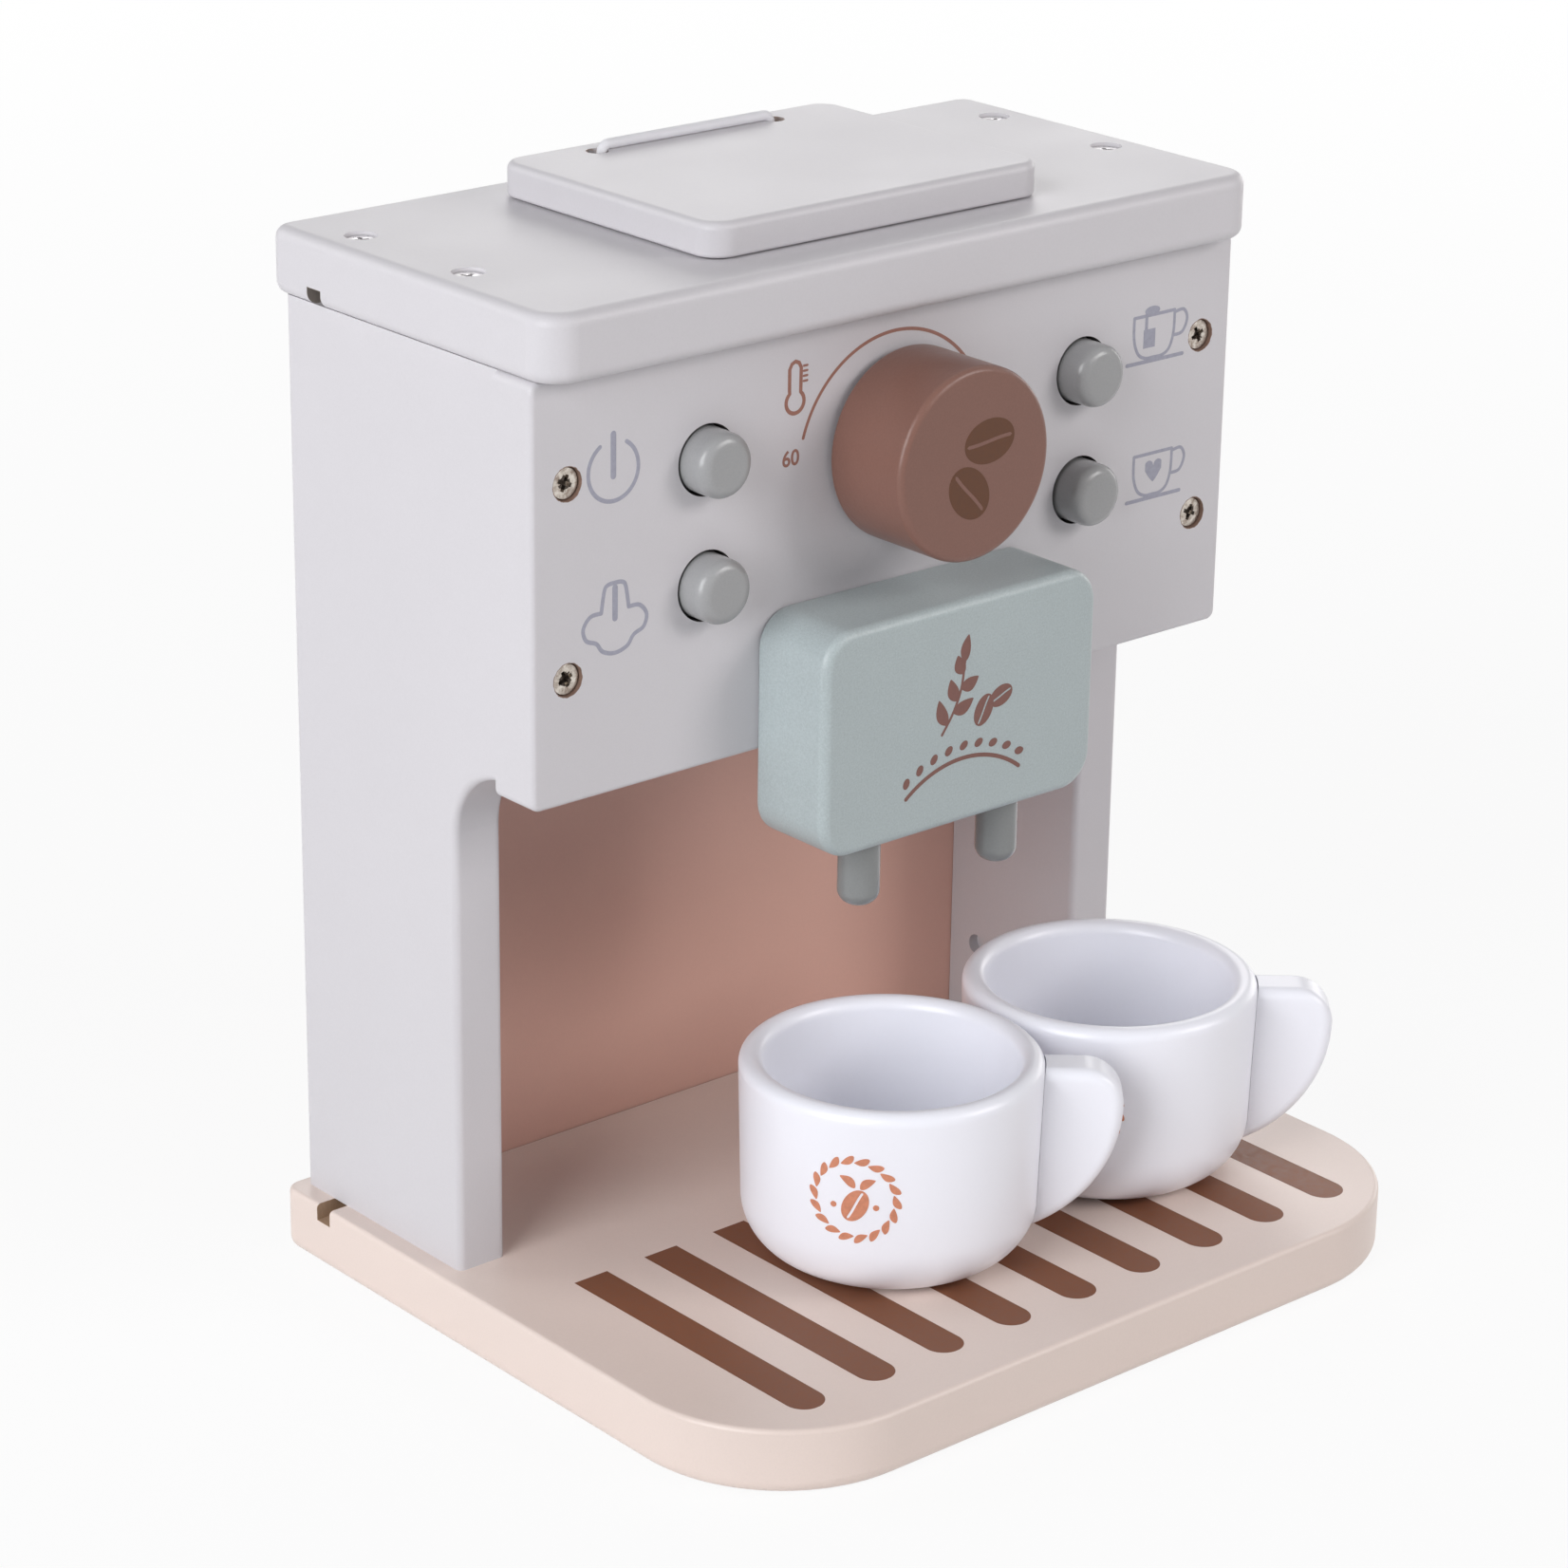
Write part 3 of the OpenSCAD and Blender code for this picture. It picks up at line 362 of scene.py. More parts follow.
screwHeadR = 3.0 * mm
buttonHoleR = 7.1 * mm
frontLow, frontHigh = lowest("front_screws"), highest("front_screws")
teaLow, teaHigh = lowest("tea_button"), highest("tea_button")
coffeeLow, coffeeHigh = lowest("coffee_button"), highest("coffee_button")
panelHoles = [
    {"across": frontHigh.x - screwHeadR, "first": frontHigh.z - screwHeadR,
     "second": frontLow.z + screwHeadR, "axis": 2, "radius": 3.5 * mm, "ragged": 0.5 * mm,
     "light": (0.25, 0.14, 0.09), "dark": (0.1, 0.05, 0.032), "amount": 0.95},
    # The button holes: walls of bare board painted near black with shade, much darker than the board itself
    {"across": (teaLow.x + teaHigh.x) / 2, "first": (teaLow.z + teaHigh.z) / 2,
     "second": (coffeeLow.z + coffeeHigh.z) / 2, "axis": 2, "radius": buttonHoleR + 0.06 * mm,
     "ragged": 0.0, "light": (0.05, 0.036, 0.03), "dark": (0.02, 0.014, 0.012), "amount": 1.0},
]
panelPaint, panelTree, panelShader, panelCoat = makePaint("wallPaint")
panelPaint.name = "panelPaint"
woodChipsAndShade(panelTree, panelShader, panelCoat, panelHoles)

topLow, topHigh = lowest("top_screws"), highest("top_screws")
topHoles = [
    # Painted shade: a grey ring in the shallow recesses round the top screws, with a little torn paint at
    # its edge
    {"across": topHigh.x - screwHeadR, "first": topHigh.y - screwHeadR, "second": topLow.y + screwHeadR,
     "axis": 1, "radius": 3.2 * mm, "ragged": 0.3 * mm, "light": (0.5, 0.47, 0.46),
     "dark": (0.36, 0.33, 0.32), "amount": 0.5},
]
topPaint, topTree, topShader, topCoat = makePaint("wallPaint")
topPaint.name = "topPaint"
woodChipsAndShade(topTree, topShader, topCoat, topHoles)
# The top board's groove opens downwards: bare board darkened to grey-brown with painted shade
grooveBoardAndShade(topTree, topShader, {
    "middle": rearMiddle, "half": grooveHalf, "floor": lowest("top_board").z + grooveDepth, "facing": -1,
    "light": (0.3, 0.26, 0.23), "dark": (0.16, 0.14, 0.125)})

loopLow, loopHigh = lowest("elastic_loop"), highest("elastic_loop")
cordRadiusM = (loopHigh.y - loopLow.y) / 2
lidHoles = [
    {"across": loopHigh.x - cordRadiusM, "first": loopLow.y + cordRadiusM, "second": loopLow.y + cordRadiusM,
     "axis": 1, "radius": 2.35 * mm, "ragged": 0.3 * mm, "light": (0.5, 0.37, 0.3),
     "dark": (0.32, 0.22, 0.175), "amount": 0.85},
]
lidPaint, lidTree, lidShader, lidCoat = makePaint("wallPaint")
lidPaint.name = "lidPaint"
woodChipsAndShade(lidTree, lidShader, lidCoat, lidHoles)


def makeSteel(name, metal, film, amount):
    material, tree, shader = newMaterial(name)
    plate = placeGroup(tree, tarnish, Metal=metal, Film=film, Amount=amount)
    wire(tree, plate.outputs["Color"], shader.inputs["Base Color"])
    wire(tree, plate.outputs["Roughness"], shader.inputs["Roughness"])
    shader.inputs["Metallic"].default_value = 1.0
    addBump(tree, shader, plate.outputs["Height"], 0.25, bumpDepth["steel"])
    return material, tree, shader, plate


def makeWood(name, light, dark):
    material, tree, shader = newMaterial(name)
    wood = placeGroup(tree, woodAndShadeTone, Light=light, Dark=dark)
    wire(tree, wood.outputs["Color"], shader.inputs["Base Color"])
    shader.inputs["Roughness"].default_value = 0.7
    addBump(tree, shader, wood.outputs["Height"], 0.3, bumpDepth["wood"])
    return material


# Painted shade: near black in the middle of each front screw head, where its cross recess lies in shade
recessShade = {"radius": 1.25 * mm, "ragged": 2.6 * mm, "light": (0.06, 0.042, 0.032),
         "dark": (0.018, 0.012, 0.01)}
frontSteel, screwTree, screwShader, screwPlate = makeSteel(
    "frontSteel", (0.66, 0.61, 0.55), (0.16, 0.1, 0.07), 0.7)
woodChipsAndShade(screwTree, screwShader, screwPlate, [{**panelHoles[0], **recessShade, "amount": 0.92}])
topSteel = makeSteel("topSteel", (0.8, 0.79, 0.8), (0.6, 0.58, 0.57), 0.5)[0]
plainSteel = makeSteel("plainSteel", (0.72, 0.71, 0.7), (0.4, 0.37, 0.33), 0.3)[0]
beech = makeWood("beech", (0.66, 0.47, 0.3), (0.5, 0.33, 0.19))


def makeFelt():
    material, tree, shader = newMaterial("greyFelt")
    here = addNode(tree, "ShaderNodeTexCoord", (-900, 0)).outputs["Object"]
    fuzz = noise(tree, here, 2200.0, 3.0, 0.7)
    wire(tree, mixColor(tree, fuzz, (0.05, 0.045, 0.045), (0.13, 0.12, 0.12)), shader.inputs["Base Color"])
    shader.inputs["Roughness"].default_value = 0.95
    addBump(tree, shader, fuzz, 0.5, bumpDepth["felt"])
    return material


greyFelt = makeFelt()


# Printed ink: slightly uneven, dull, with faint mottling from the screen
def makeInk(name, color, clear=0.06):
    material, tree, shader = newMaterial(name)
    here = addNode(tree, "ShaderNodeTexCoord", (-900, 0)).outputs["Object"]
    blot = noise(tree, here, 900.0, 3.0, 0.6)
    pale = tuple(min(1.0, part * (1 + 4 * clear)) for part in color)
    dark = tuple(part * (1 - 2 * clear) for part in color)
    wire(tree, mixColor(tree, blot, dark, pale), shader.inputs["Base Color"])
    wire(tree, remap(tree, blot, 0.3, 0.7, 0.42, 0.56), shader.inputs["Roughness"])
    shader.inputs["Specular IOR Level"].default_value = 0.3
    addBump(tree, shader, blot, 0.1, bumpDepth["ink"])
    return material


slatInk = makeInk("slatInk", (0.19, 0.076, 0.041))
lavenderInk = makeInk("lavenderInk", (0.33, 0.33, 0.395))
scaleInk = makeInk("scaleInk", (0.3, 0.145, 0.112))
motifInk = makeInk("motifInk", (0.19, 0.09, 0.075))
beanInk = makeInk("beanInk", (0.104, 0.042, 0.02))
terracottaInk = makeInk("terracottaInk", (0.56, 0.225, 0.135), 0.1)
print("finishes: paints, metals, wood, felt and inks are ready")

finishNodes = {
    "basePaint": ["base"],
    "rearPaint": ["rear_panel"],
    "wallPaint": ["side_left", "side_right", "shelf"],
    "blockPaint": ["brewing_block"],
    "spoutPaint": ["spout_left", "spout_right"],
    "greyPaint": ["power_button", "steam_button", "tea_button", "coffee_button"],
    "knobPaint": ["knob"],
    "cupPaint": ["cup_left", "cup_left_handle", "cup_right", "cup_right_handle"],
    "topPaint": ["top_board"],
    "lidPaint": ["lid"],
    "panelPaint": ["front_panel"],
    "beech": ["button_guide_left", "button_guide_right", "knob_axle"],
    "greyFelt": ["knob_spacer"],
    "frontSteel": ["front_screws"],
    "topSteel": ["top_screws"],
    "plainSteel": ["power_spring", "steam_spring", "tea_spring", "coffee_spring", "base_screws",
                   "block_screws", "guide_screws", "axle_washer", "axle_screw"],
}
finishes.update(topPaint=topPaint, panelPaint=panelPaint, lidPaint=lidPaint, beech=beech, greyFelt=greyFelt,
                frontSteel=frontSteel, topSteel=topSteel, plainSteel=plainSteel)
nodeFinish = {node: finishes[name] for name, nodes in finishNodes.items() for node in nodes}
for node, finish in nodeFinish.items():
    mesh = nodeObjects[node].data
    mesh.materials.clear()
    mesh.materials.append(finish)
print("boards and turned pieces: finishes set on", len(nodeFinish), "nodes")


# Prints: thin closed films of ink, built from strips of point pairs

# A smooth line through the points
def smoothPath(points, steps=6):
    last = len(points) - 1
    path = []
    for i in range(last):
        a, b, c, d = (points[min(max(i + k, 0), last)] for k in (-1, 0, 1, 2))
        for s in range(steps):
            t = s / steps
            path.append(tuple(0.5 * (2 * b[n] + (c[n] - a[n]) * t
                                     + (2 * a[n] - 5 * b[n] + 4 * c[n] - d[n]) * t * t
                                     + (3 * b[n] - a[n] - 3 * c[n] + d[n]) * t ** 3) for n in (0, 1)))
    path.append(tuple(points[-1]))
    return path


def arcPath(centre, radius, start, end, steps=40):
    turn = [math.radians(start + (end - start) * k / steps) for k in range(steps + 1)]
    return [(centre[0] + radius * math.cos(a), centre[1] + radius * math.sin(a)) for a in turn]


capAngles = [math.radians(22 * k) for k in range(1, 5)]


# A pen line as pairs of points, with round ends
def pen(path, width, closed=False):
    half = width / 2
    count = len(path)
    pairs = []
    for i, (x, y) in enumerate(path):
        before = path[(i - 1) % count] if closed or i > 0 else path[i]
        after = path[(i + 1) % count] if closed or i < count - 1 else path[i]
        dx, dy = after[0] - before[0], after[1] - before[1]
        size = math.hypot(dx, dy) or 1.0
        nx, ny = -dy / size, dx / size
        pairs.append(((x + nx * half, y + ny * half), (x - nx * half, y - ny * half)))
    if closed:
        return pairs, True
    caps = []
    for end, direction in ((0, -1), (-1, 1)):
        (ax, ay), (bx, by) = pairs[end]
        cx, cy, nx, ny = (ax + bx) / 2, (ay + by) / 2, (ax - bx) / 2, (ay - by) / 2
        tx, ty = ny * direction, -nx * direction
        cap = []
        for a in capAngles:
            x, y = cx + tx * math.sin(a), cy + ty * math.sin(a)
            sideX, sideY = nx * math.cos(a), ny * math.cos(a)
            cap.append(((x + sideX, y + sideY), (x - sideX, y - sideY)))
        caps.append(cap)
    return caps[0][::-1] + pairs + caps[1], False


def turned(point, centre, angle):
    a = math.radians(angle)
    return (centre[0] + point[0] * math.cos(a) - point[1] * math.sin(a),
            centre[1] + point[0] * math.sin(a) + point[1] * math.cos(a))


# Places along an oval, from nearly -1 to nearly 1, closer together at its ends
def ovalPlaces(steps):
    return [-math.cos(math.pi * (0.03 + 0.94 * k / steps)) for k in range(steps + 1)]


def oval(centre, a, b, angle=0, steps=18):
    pairs = []
    for t in ovalPlaces(steps):
        r = math.sqrt(1 - t * t)
        pairs.append((turned((a * t, b * r), centre, angle), turned((a * t, -b * r), centre, angle)))
    return pairs, False


# A coffee bean with a wavy slit: two half ovals
def bean(centre, a, b, angle, slit):
    shapes = []
    for side in (1, -1):
        pairs = []
        for t in ovalPlaces(18):
            outer = b * math.sqrt(1 - t * t)
            inner = min(slit / 2 if abs(t) < 0.86 else 0.0, outer)
            wave = 0.03 * b * math.sin(math.pi * t)
            pairs.append((turned((a * t, side * outer), centre, angle),
                          turned((a * t, side * inner + wave), centre, angle)))
        shapes.append((pairs, False))
    return shapes


# A pointed leaf, broadest below its middle and bent to one side
def leaf(base, tip, width, bend, steps=12):
    dx, dy = tip[0] - base[0], tip[1] - base[1]
    size = math.hypot(dx, dy)
    pairs = []
    for k in range(steps + 1):
        t = 0.02 + 0.96 * k / steps
        half = width / 2 * math.sin(math.pi * t ** 0.8) ** 0.85
        lift = bend * math.sin(math.pi * t)
        x, y = base[0] + dx * t - dy * lift, base[1] + dy * t + dx * lift
        nx, ny = -dy / size * half, dx / size * half
        pairs.append(((x + nx, y + ny), (x - nx, y - ny)))
    return pairs, False


# A heart from upright strokes: round lobes above, a point below
def heart(centre, width, height, steps=18):
    pairs = []
    for k in range(1, steps):
        t = k / steps
        top = 0.5 * math.sqrt(max(0.0, 1 - (2 * abs(2 * t - 1) - 1) ** 2)) * 0.55 + 0.2
        low = -0.5 + 0.62 * abs(2 * t - 1) ** 1.25
        x = centre[0] + (t - 0.5) * width
        pairs.append(((x, centre[1] + top * height), (x, centre[1] + min(low, top - 0.02) * height)))
    return pairs, False


def bar(low, high):
    return [((low[0], high[1]), (low[0], low[1])), ((high[0], high[1]), (high[0], low[1]))], False


strokeStep = 0.003  # millimetres by which each stroke lies higher, so that strokes that cross stay apart


# Builds one film's mesh; place turns (across, up, height) in millimetres into a point
def inkMesh(name, shapes, place, film):
    mesh = bmesh.new()
    for index, (pairs, closed) in enumerate(shapes):
        top = film["lift"] + strokeStep * index
        rows = []
        for first, second in pairs:
            rows.append([mesh.verts.new(place(*point, height)) for height in (top, -film["sink"])
                         for point in (first, second)])
        links = list(zip(rows, rows[1:] + rows[:1])) if closed else list(zip(rows, rows[1:]))
        for (a, b, c, d), (e, f, g, h) in links:
            for face in ((a, b, f, e), (d, c, g, h), (c, a, e, g), (b, d, h, f)):
                mesh.faces.new(face)
        if not closed:
            a, b, c, d = rows[0]
            mesh.faces.new((a, c, d, b))
            a, b, c, d = rows[-1]
            mesh.faces.new((a, b, d, c))
    bmesh.ops.recalc_face_normals(mesh, faces=mesh.faces)
    data = bpy.data.meshes.new(name)
    mesh.to_mesh(data)
    mesh.free()
    return data


def addPiece(name, mesh, body, ink):
    mesh.materials.clear()
    mesh.materials.append(ink)
    for polygon in mesh.polygons:
        polygon.material_index = 0
    piece = addObject(name, mesh)
    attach(piece, body)
    return piece


def printFilm(name, shapes, place, film, body, ink):
    return addPiece(name, inkMesh(name, shapes, place, film), body, ink)


film = {"lift": 0.03, "sink": 0.06}
panelY = lowest("front_panel").y


def onPanel(across, up, height):
    return Vector((across * mm, panelY - height * mm, up * mm))


# Symbols on the front panel

symbols = {"line": 0.85, "bold": 1.3, "hair": 0.7}
power = {"centre": (-71.7, 184.6), "radius": 5.95, "gap": 32}
printFilm("powerSymbol", [
    pen(arcPath(power["centre"], power["radius"], 90 + power["gap"], 450 - power["gap"]), symbols["line"]),
    pen([(power["centre"][0], 183.5), (power["centre"][0], 191.6)], symbols["bold"]),
], onPanel, film, "housing", lavenderInk)

steamCloud = [(-74.6, 157.2), (-77.2, 157.0), (-78.9, 154.9), (-78.2, 152.5), (-75.8, 151.4), (-74.2, 149.5),
              (-71.3, 148.7), (-68.4, 149.5), (-66.8, 151.4), (-64.4, 152.5), (-63.7, 154.9), (-65.4, 157.0),
              (-68.0, 157.2)]
steamNozzle = [(-74.6, 157.2), (-73.9, 161.3), (-73.1, 162.4), (-71.3, 162.6), (-69.5, 162.4),
               (-68.7, 161.3), (-68.0, 157.2)]
printFilm("steamSymbol", [
    pen(smoothPath(steamCloud), symbols["line"]),
    pen(smoothPath(steamNozzle), symbols["line"]),
    pen([(-71.3, 155.6), (-71.3, 161.6)], symbols["bold"]),
], onPanel, film, "housing", lavenderInk)


def cupSymbol(left, right, rim, foot, line):
    middle = (left + right) / 2
    body = [(left, rim), (left + 0.1, rim - 4.4), (left + 1.3, foot + 1.3), (left + 3.4, foot),
            (middle, foot - 0.1), (right - 3.0, foot), (right - 1.1, foot + 1.3), (right - 0.1, rim - 4.4),
            (right, rim)]
    ear = [(right, rim - 0.5), (right + 2.6, rim - 0.3), (right + 3.7, rim - 2.4), (right + 2.4, rim - 5.0),
           (right - 0.3, rim - 5.3)]
    return [pen(smoothPath(body), line), pen([(left, rim), (right, rim)], line), pen(smoothPath(ear), line),
            pen([(left - 1.7, foot - 0.75), (right + 2.7, foot - 0.75)], line * 1.15)]


teaCup = {"left": 63.3, "right": 74.8, "rim": 190.7, "foot": 181.8}
printFilm("teaSymbol", cupSymbol(**teaCup, line=symbols["hair"]) + [
    bar((66.1, 183.9), (69.4, 187.8)),
    pen([(66.8, 187.8), (66.8, 191.2)], 0.8),
    oval((68.4, 191.6), 2.1, 0.95),
], onPanel, film, "housing", lavenderInk)

coffeeCup = {"left": 64.8, "right": 75.7, "rim": 161.1, "foot": 152.3}
printFilm("coffeeSymbol", cupSymbol(**coffeeCup, line=symbols["hair"]) + [heart((70.5, 157.3), 5.2, 4.8)],
          onPanel, film, "housing", lavenderInk)

# Temperature scale round the knob

scale = {"centre": (-1.9, 175.2), "radius": 24.3, "from": 163.5, "to": 16.5, "line": 0.7, "tick": 0.48,
         "outline": 0.82, "low": ("60", (-28.3, 178.5)), "high": ("95", (24.5, 178.5))}
bulb = arcPath((-27.4, 189.7), 2.25, 128, 412, 26)
tube = [(-25.95, 192.2), (-25.95, 196.3), (-26.5, 197.3), (-27.4, 197.7), (-28.3, 197.3), (-28.85, 196.3),
        (-28.85, 192.2)]
printFilm("temperatureScale", [
    pen(arcPath(scale["centre"], scale["radius"], scale["from"], scale["to"], 60), scale["line"]),
    pen(bulb + tube[1:], scale["outline"], True),
    *[pen([(-25.3, z), (-24.4, z)], scale["tick"]) for z in (196.5, 195.5, 194.5, 193.5)],
], onPanel, film, "housing", scaleInk)


digits = {"size": 4.4 * mm, "swell": 0.08 * mm, "half": 0.045 * mm, "sink": 0.015 * mm}


# Plain numbers at both ends of the scale
def printNumber(name, words, centre):
    curve = bpy.data.curves.new(name, "FONT")
    curve.body = words
    curve.size = digits["size"]
    curve.align_x = "CENTER"
    curve.align_y = "CENTER"
    curve.offset = digits["swell"]
    curve.extrude = digits["half"]
    maker = addObject(name + "Maker", curve)
    bpy.context.view_layer.update()
    mesh = bpy.data.meshes.new_from_object(maker.evaluated_get(bpy.context.evaluated_depsgraph_get()))
    bpy.data.objects.remove(maker)
    place = Matrix.Translation((centre[0] * mm, panelY + digits["sink"], centre[1] * mm))
    mesh.transform(place @ Matrix.Rotation(math.radians(90), 4, "X"))
    addPiece(name, mesh, "housing", scaleInk)


printNumber("lowNumber", *scale["low"])
printNumber("highNumber", *scale["high"])
print("panel: symbols, scale and numbers are printed")

# Beans on the knob

knobLow, knobHigh = lowest("knob"), highest("knob")
knobMid = ((knobLow.x + knobHigh.x) / 2 / mm, (knobLow.z + knobHigh.z) / 2 / mm)


def onKnob(across, up, height):
    return Vector(((knobMid[0] + across) * mm, knobLow.y - height * mm, (knobMid[1] + up) * mm))


knobBeans = {"upper": ((3.4, 4.3), 6.5, 4.5, 4), "lower": ((-1.6, -5.3), 6.1, 4.6, -48), "slit": 0.75}
beanShapes = bean(*knobBeans["upper"], knobBeans["slit"]) + bean(*knobBeans["lower"], knobBeans["slit"])
printFilm("knobBeans", beanShapes, onKnob, film, "knob", beanInk)

# Sprig above a row of beans on the brewing block

blockY = lowest("brewing_block").y


def onBlock(across, up, height):
    return Vector((across * mm, blockY - height * mm, up * mm))


sprig = {"stem": [(-5.4, 122.6), (-2.6, 126.6), (-0.6, 131.2), (0.2, 136.6)], "leafLength": 6.2,
         "leafWidth": 2.9, "line": 0.6}
stem = smoothPath(sprig["stem"])
motif = [pen(stem, sprig["line"])]
for index, (where, side) in enumerate(((3, 1), (6, -1), (9, 1), (12, -1), (15, 1))):
    x, y = stem[where]
    reach = sprig["leafLength"] * (1 - 0.07 * index)
    a = math.radians(66 + side * 46)
    tip = (x + reach * math.cos(a), y + reach * math.sin(a))
    motif.append(leaf((x, y), tip, sprig["leafWidth"], side * 0.07))
motif.append(leaf(stem[-1], (stem[-1][0] + 0.9, stem[-1][1] + 5.6), 2.6, 0.05))
motif += bean((5.6, 125.4), 3.4, 2.3, 62, 0.45) + bean((10.2, 127.4), 3.1, 2.1, 20, 0.42)
bow = {"centre": (0.5, 92.0), "radius": 24.5, "from": 128, "to": 52, "dots": 9, "line": 0.85}
motif.append(pen(arcPath(bow["centre"], bow["radius"], bow["from"], bow["to"], 30), bow["line"]))
for index in range(bow["dots"]):
    a = bow["from"] + (bow["to"] - bow["from"]) * (index + 0.5) / bow["dots"]
    x, y = turned((bow["radius"] + 2.6, 0), bow["centre"], a)
    motif.append(oval((x, y), 1.15, 0.8, a + 90 + 35, 10))
printFilm("blockSprig", motif, onBlock, film, "housing", motifInk)
print("knob and block: beans and sprig are printed")


# What repeats: slats on the base and leaves on the cups, by Geometry Nodes

def treeInput(tree, name, kind, value):
    socket = tree.interface.new_socket(name=name, in_out="INPUT", socket_type=kind)
    socket.default_value = value
    return socket.identifier


def bakeTree(name, mesh, tree, inputs):
    maker = addObject(name + "Maker", mesh)
    modifier = maker.modifiers.new("repeat", "NODES")
    modifier.node_group = tree
    for identifier, value in inputs.items():
        modifier[identifier] = value
    bpy.context.view_layer.update()
    made = bpy.data.meshes.new_from_object(maker.evaluated_get(bpy.context.evaluated_depsgraph_get()))
    maker.modifiers.remove(modifier)
    bpy.data.objects.remove(maker)
    made.name = name
    return made


def flatPlace(across, up, height):
    return Vector((across * mm, up * mm, height * mm))


# The end of a repeat tree: its copies made real, with their ink
def finishTree(tree, copies, ink, outs):
    real = addNode(tree, "GeometryNodeRealizeInstances", (600, 0))
    wire(tree, copies, real.inputs[0])
    finish = addNode(tree, "GeometryNodeSetMaterial", (750, 0))
    finish.inputs["Material"].default_value = ink
    wire(tree, real.outputs[0], finish.inputs["Geometry"])
    wire(tree, finish.outputs[0], outs.inputs[0])


slats = {"count": 9, "pitch": 17.92, "middle": 0.9, "width": 8.3, "rear": 2.95, "front": -66.15,
         "tipSteps": 14, "tipTurn": 6.3, "lift": 0.025, "sink": 0.06}


# A slat with a square rear end and a round front end
def slatShape():
    half = slats["width"] / 2
    tip = slats["front"] + half
    pairs = [((-half, slats["rear"]), (half, slats["rear"]))]
    pairs += [((-half * math.cos(a), tip - half * math.sin(a)),
               (half * math.cos(a), tip - half * math.sin(a)))
              for a in (math.radians(slats["tipTurn"] * k) for k in range(slats["tipSteps"]))]
    return [(pairs, False)]


def makeSlatTree():
    tree = bpy.data.node_groups.new("slatRow", "GeometryNodeTree")
    tree.interface.new_socket(name="Slat", in_out="INPUT", socket_type="NodeSocketGeometry")
    names = {"count": treeInput(tree, "Count", "NodeSocketInt", slats["count"]),
             "pitch": treeInput(tree, "Pitch", "NodeSocketFloat", slats["pitch"] * mm),
             "start": treeInput(tree, "Start", "NodeSocketFloat", 0.0),
             "height": treeInput(tree, "Height", "NodeSocketFloat", 0.0)}
    tree.interface.new_socket(name="Row", in_out="OUTPUT", socket_type="NodeSocketGeometry")
    ins, outs = addNode(tree, "NodeGroupInput"), addNode(tree, "NodeGroupOutput", (900, 0))
    step = addNode(tree, "ShaderNodeCombineXYZ", (100, -100))
    start = addNode(tree, "ShaderNodeCombineXYZ", (100, -250))
    wire(tree, ins.outputs["Pitch"], step.inputs[0])
    wire(tree, ins.outputs["Start"], start.inputs[0])
    wire(tree, ins.outputs["Height"], start.inputs[2])
    line = addNode(tree, "GeometryNodeMeshLine", (300, -100))
    wire(tree, ins.outputs["Count"], line.inputs["Count"])
    wire(tree, start.outputs[0], line.inputs["Start Location"])
    wire(tree, step.outputs[0], line.inputs["Offset"])
    spread = addNode(tree, "GeometryNodeInstanceOnPoints", (450, 0))
    wire(tree, line.outputs[0], spread.inputs["Points"])
    wire(tree, ins.outputs["Slat"], spread.inputs["Instance"])
    finishTree(tree, spread.outputs[0], slatInk, outs)
    return tree, names


slatTree, slatNames = makeSlatTree()
slatStart = (slats["middle"] - slats["pitch"] * (slats["count"] - 1) / 2) * mm
slatSeed = inkMesh("slatSeed", slatShape(), flatPlace, slats)
slatMesh = bakeTree("baseSlats", slatSeed, slatTree, {
    slatNames["count"]: slats["count"], slatNames["pitch"]: slats["pitch"] * mm,
    slatNames["start"]: slatStart, slatNames["height"]: highest("base").z})
addPiece("baseSlats", slatMesh, "housing", slatInk)
print("base:", slats["count"], "slats are printed")

badge = {"height": 37.9, "radius": 8.6, "leaves": 18, "leafLength": 3.3, "leafWidth": 1.5, "leafTilt": 0.45,
         "turn": 214.7, "lift": 0.08, "sink": 0.1}
# A cup's outer wall at the badge, which widens upwards
cupWall = {"radius": 30.1, "flare": 0.7, "flareFrom": 12, "flareShort": 14.5}


def makeWreathTree():
    tree = bpy.data.node_groups.new("leafWreath", "GeometryNodeTree")
    tree.interface.new_socket(name="Leaf", in_out="INPUT", socket_type="NodeSocketGeometry")
    names = {"count": treeInput(tree, "Count", "NodeSocketInt", badge["leaves"]),
             "radius": treeInput(tree, "Radius", "NodeSocketFloat", badge["radius"] * mm),
             "tilt": treeInput(tree, "Tilt", "NodeSocketFloat", 0.5)}
    tree.interface.new_socket(name="Wreath", in_out="OUTPUT", socket_type="NodeSocketGeometry")
    ins, outs = addNode(tree, "NodeGroupInput"), addNode(tree, "NodeGroupOutput", (1100, 0))
    ring = addNode(tree, "GeometryNodeMeshCircle", (150, -100))
    wire(tree, ins.outputs["Count"], ring.inputs["Vertices"])
    wire(tree, ins.outputs["Radius"], ring.inputs["Radius"])
    number = addNode(tree, "GeometryNodeInputIndex", (150, -300))
    portion = mathNode(tree, "DIVIDE", number.outputs[0], ins.outputs["Count"])
    angle = mathNode(tree, "ADD", mathNode(tree, "MULTIPLY", portion, 2 * math.pi), ins.outputs["Tilt"])
    spin = addNode(tree, "ShaderNodeCombineXYZ", (450, -300))
    wire(tree, angle, spin.inputs[2])
    spread = addNode(tree, "GeometryNodeInstanceOnPoints", (650, 0))
    wire(tree, ring.outputs[0], spread.inputs["Points"])
    wire(tree, ins.outputs["Leaf"], spread.inputs["Instance"])
    wire(tree, spin.outputs[0], spread.inputs["Rotation"])
    finishTree(tree, spread.outputs[0], terracottaInk, outs)
    return tree, names


wreathTree, wreathNames = makeWreathTree()


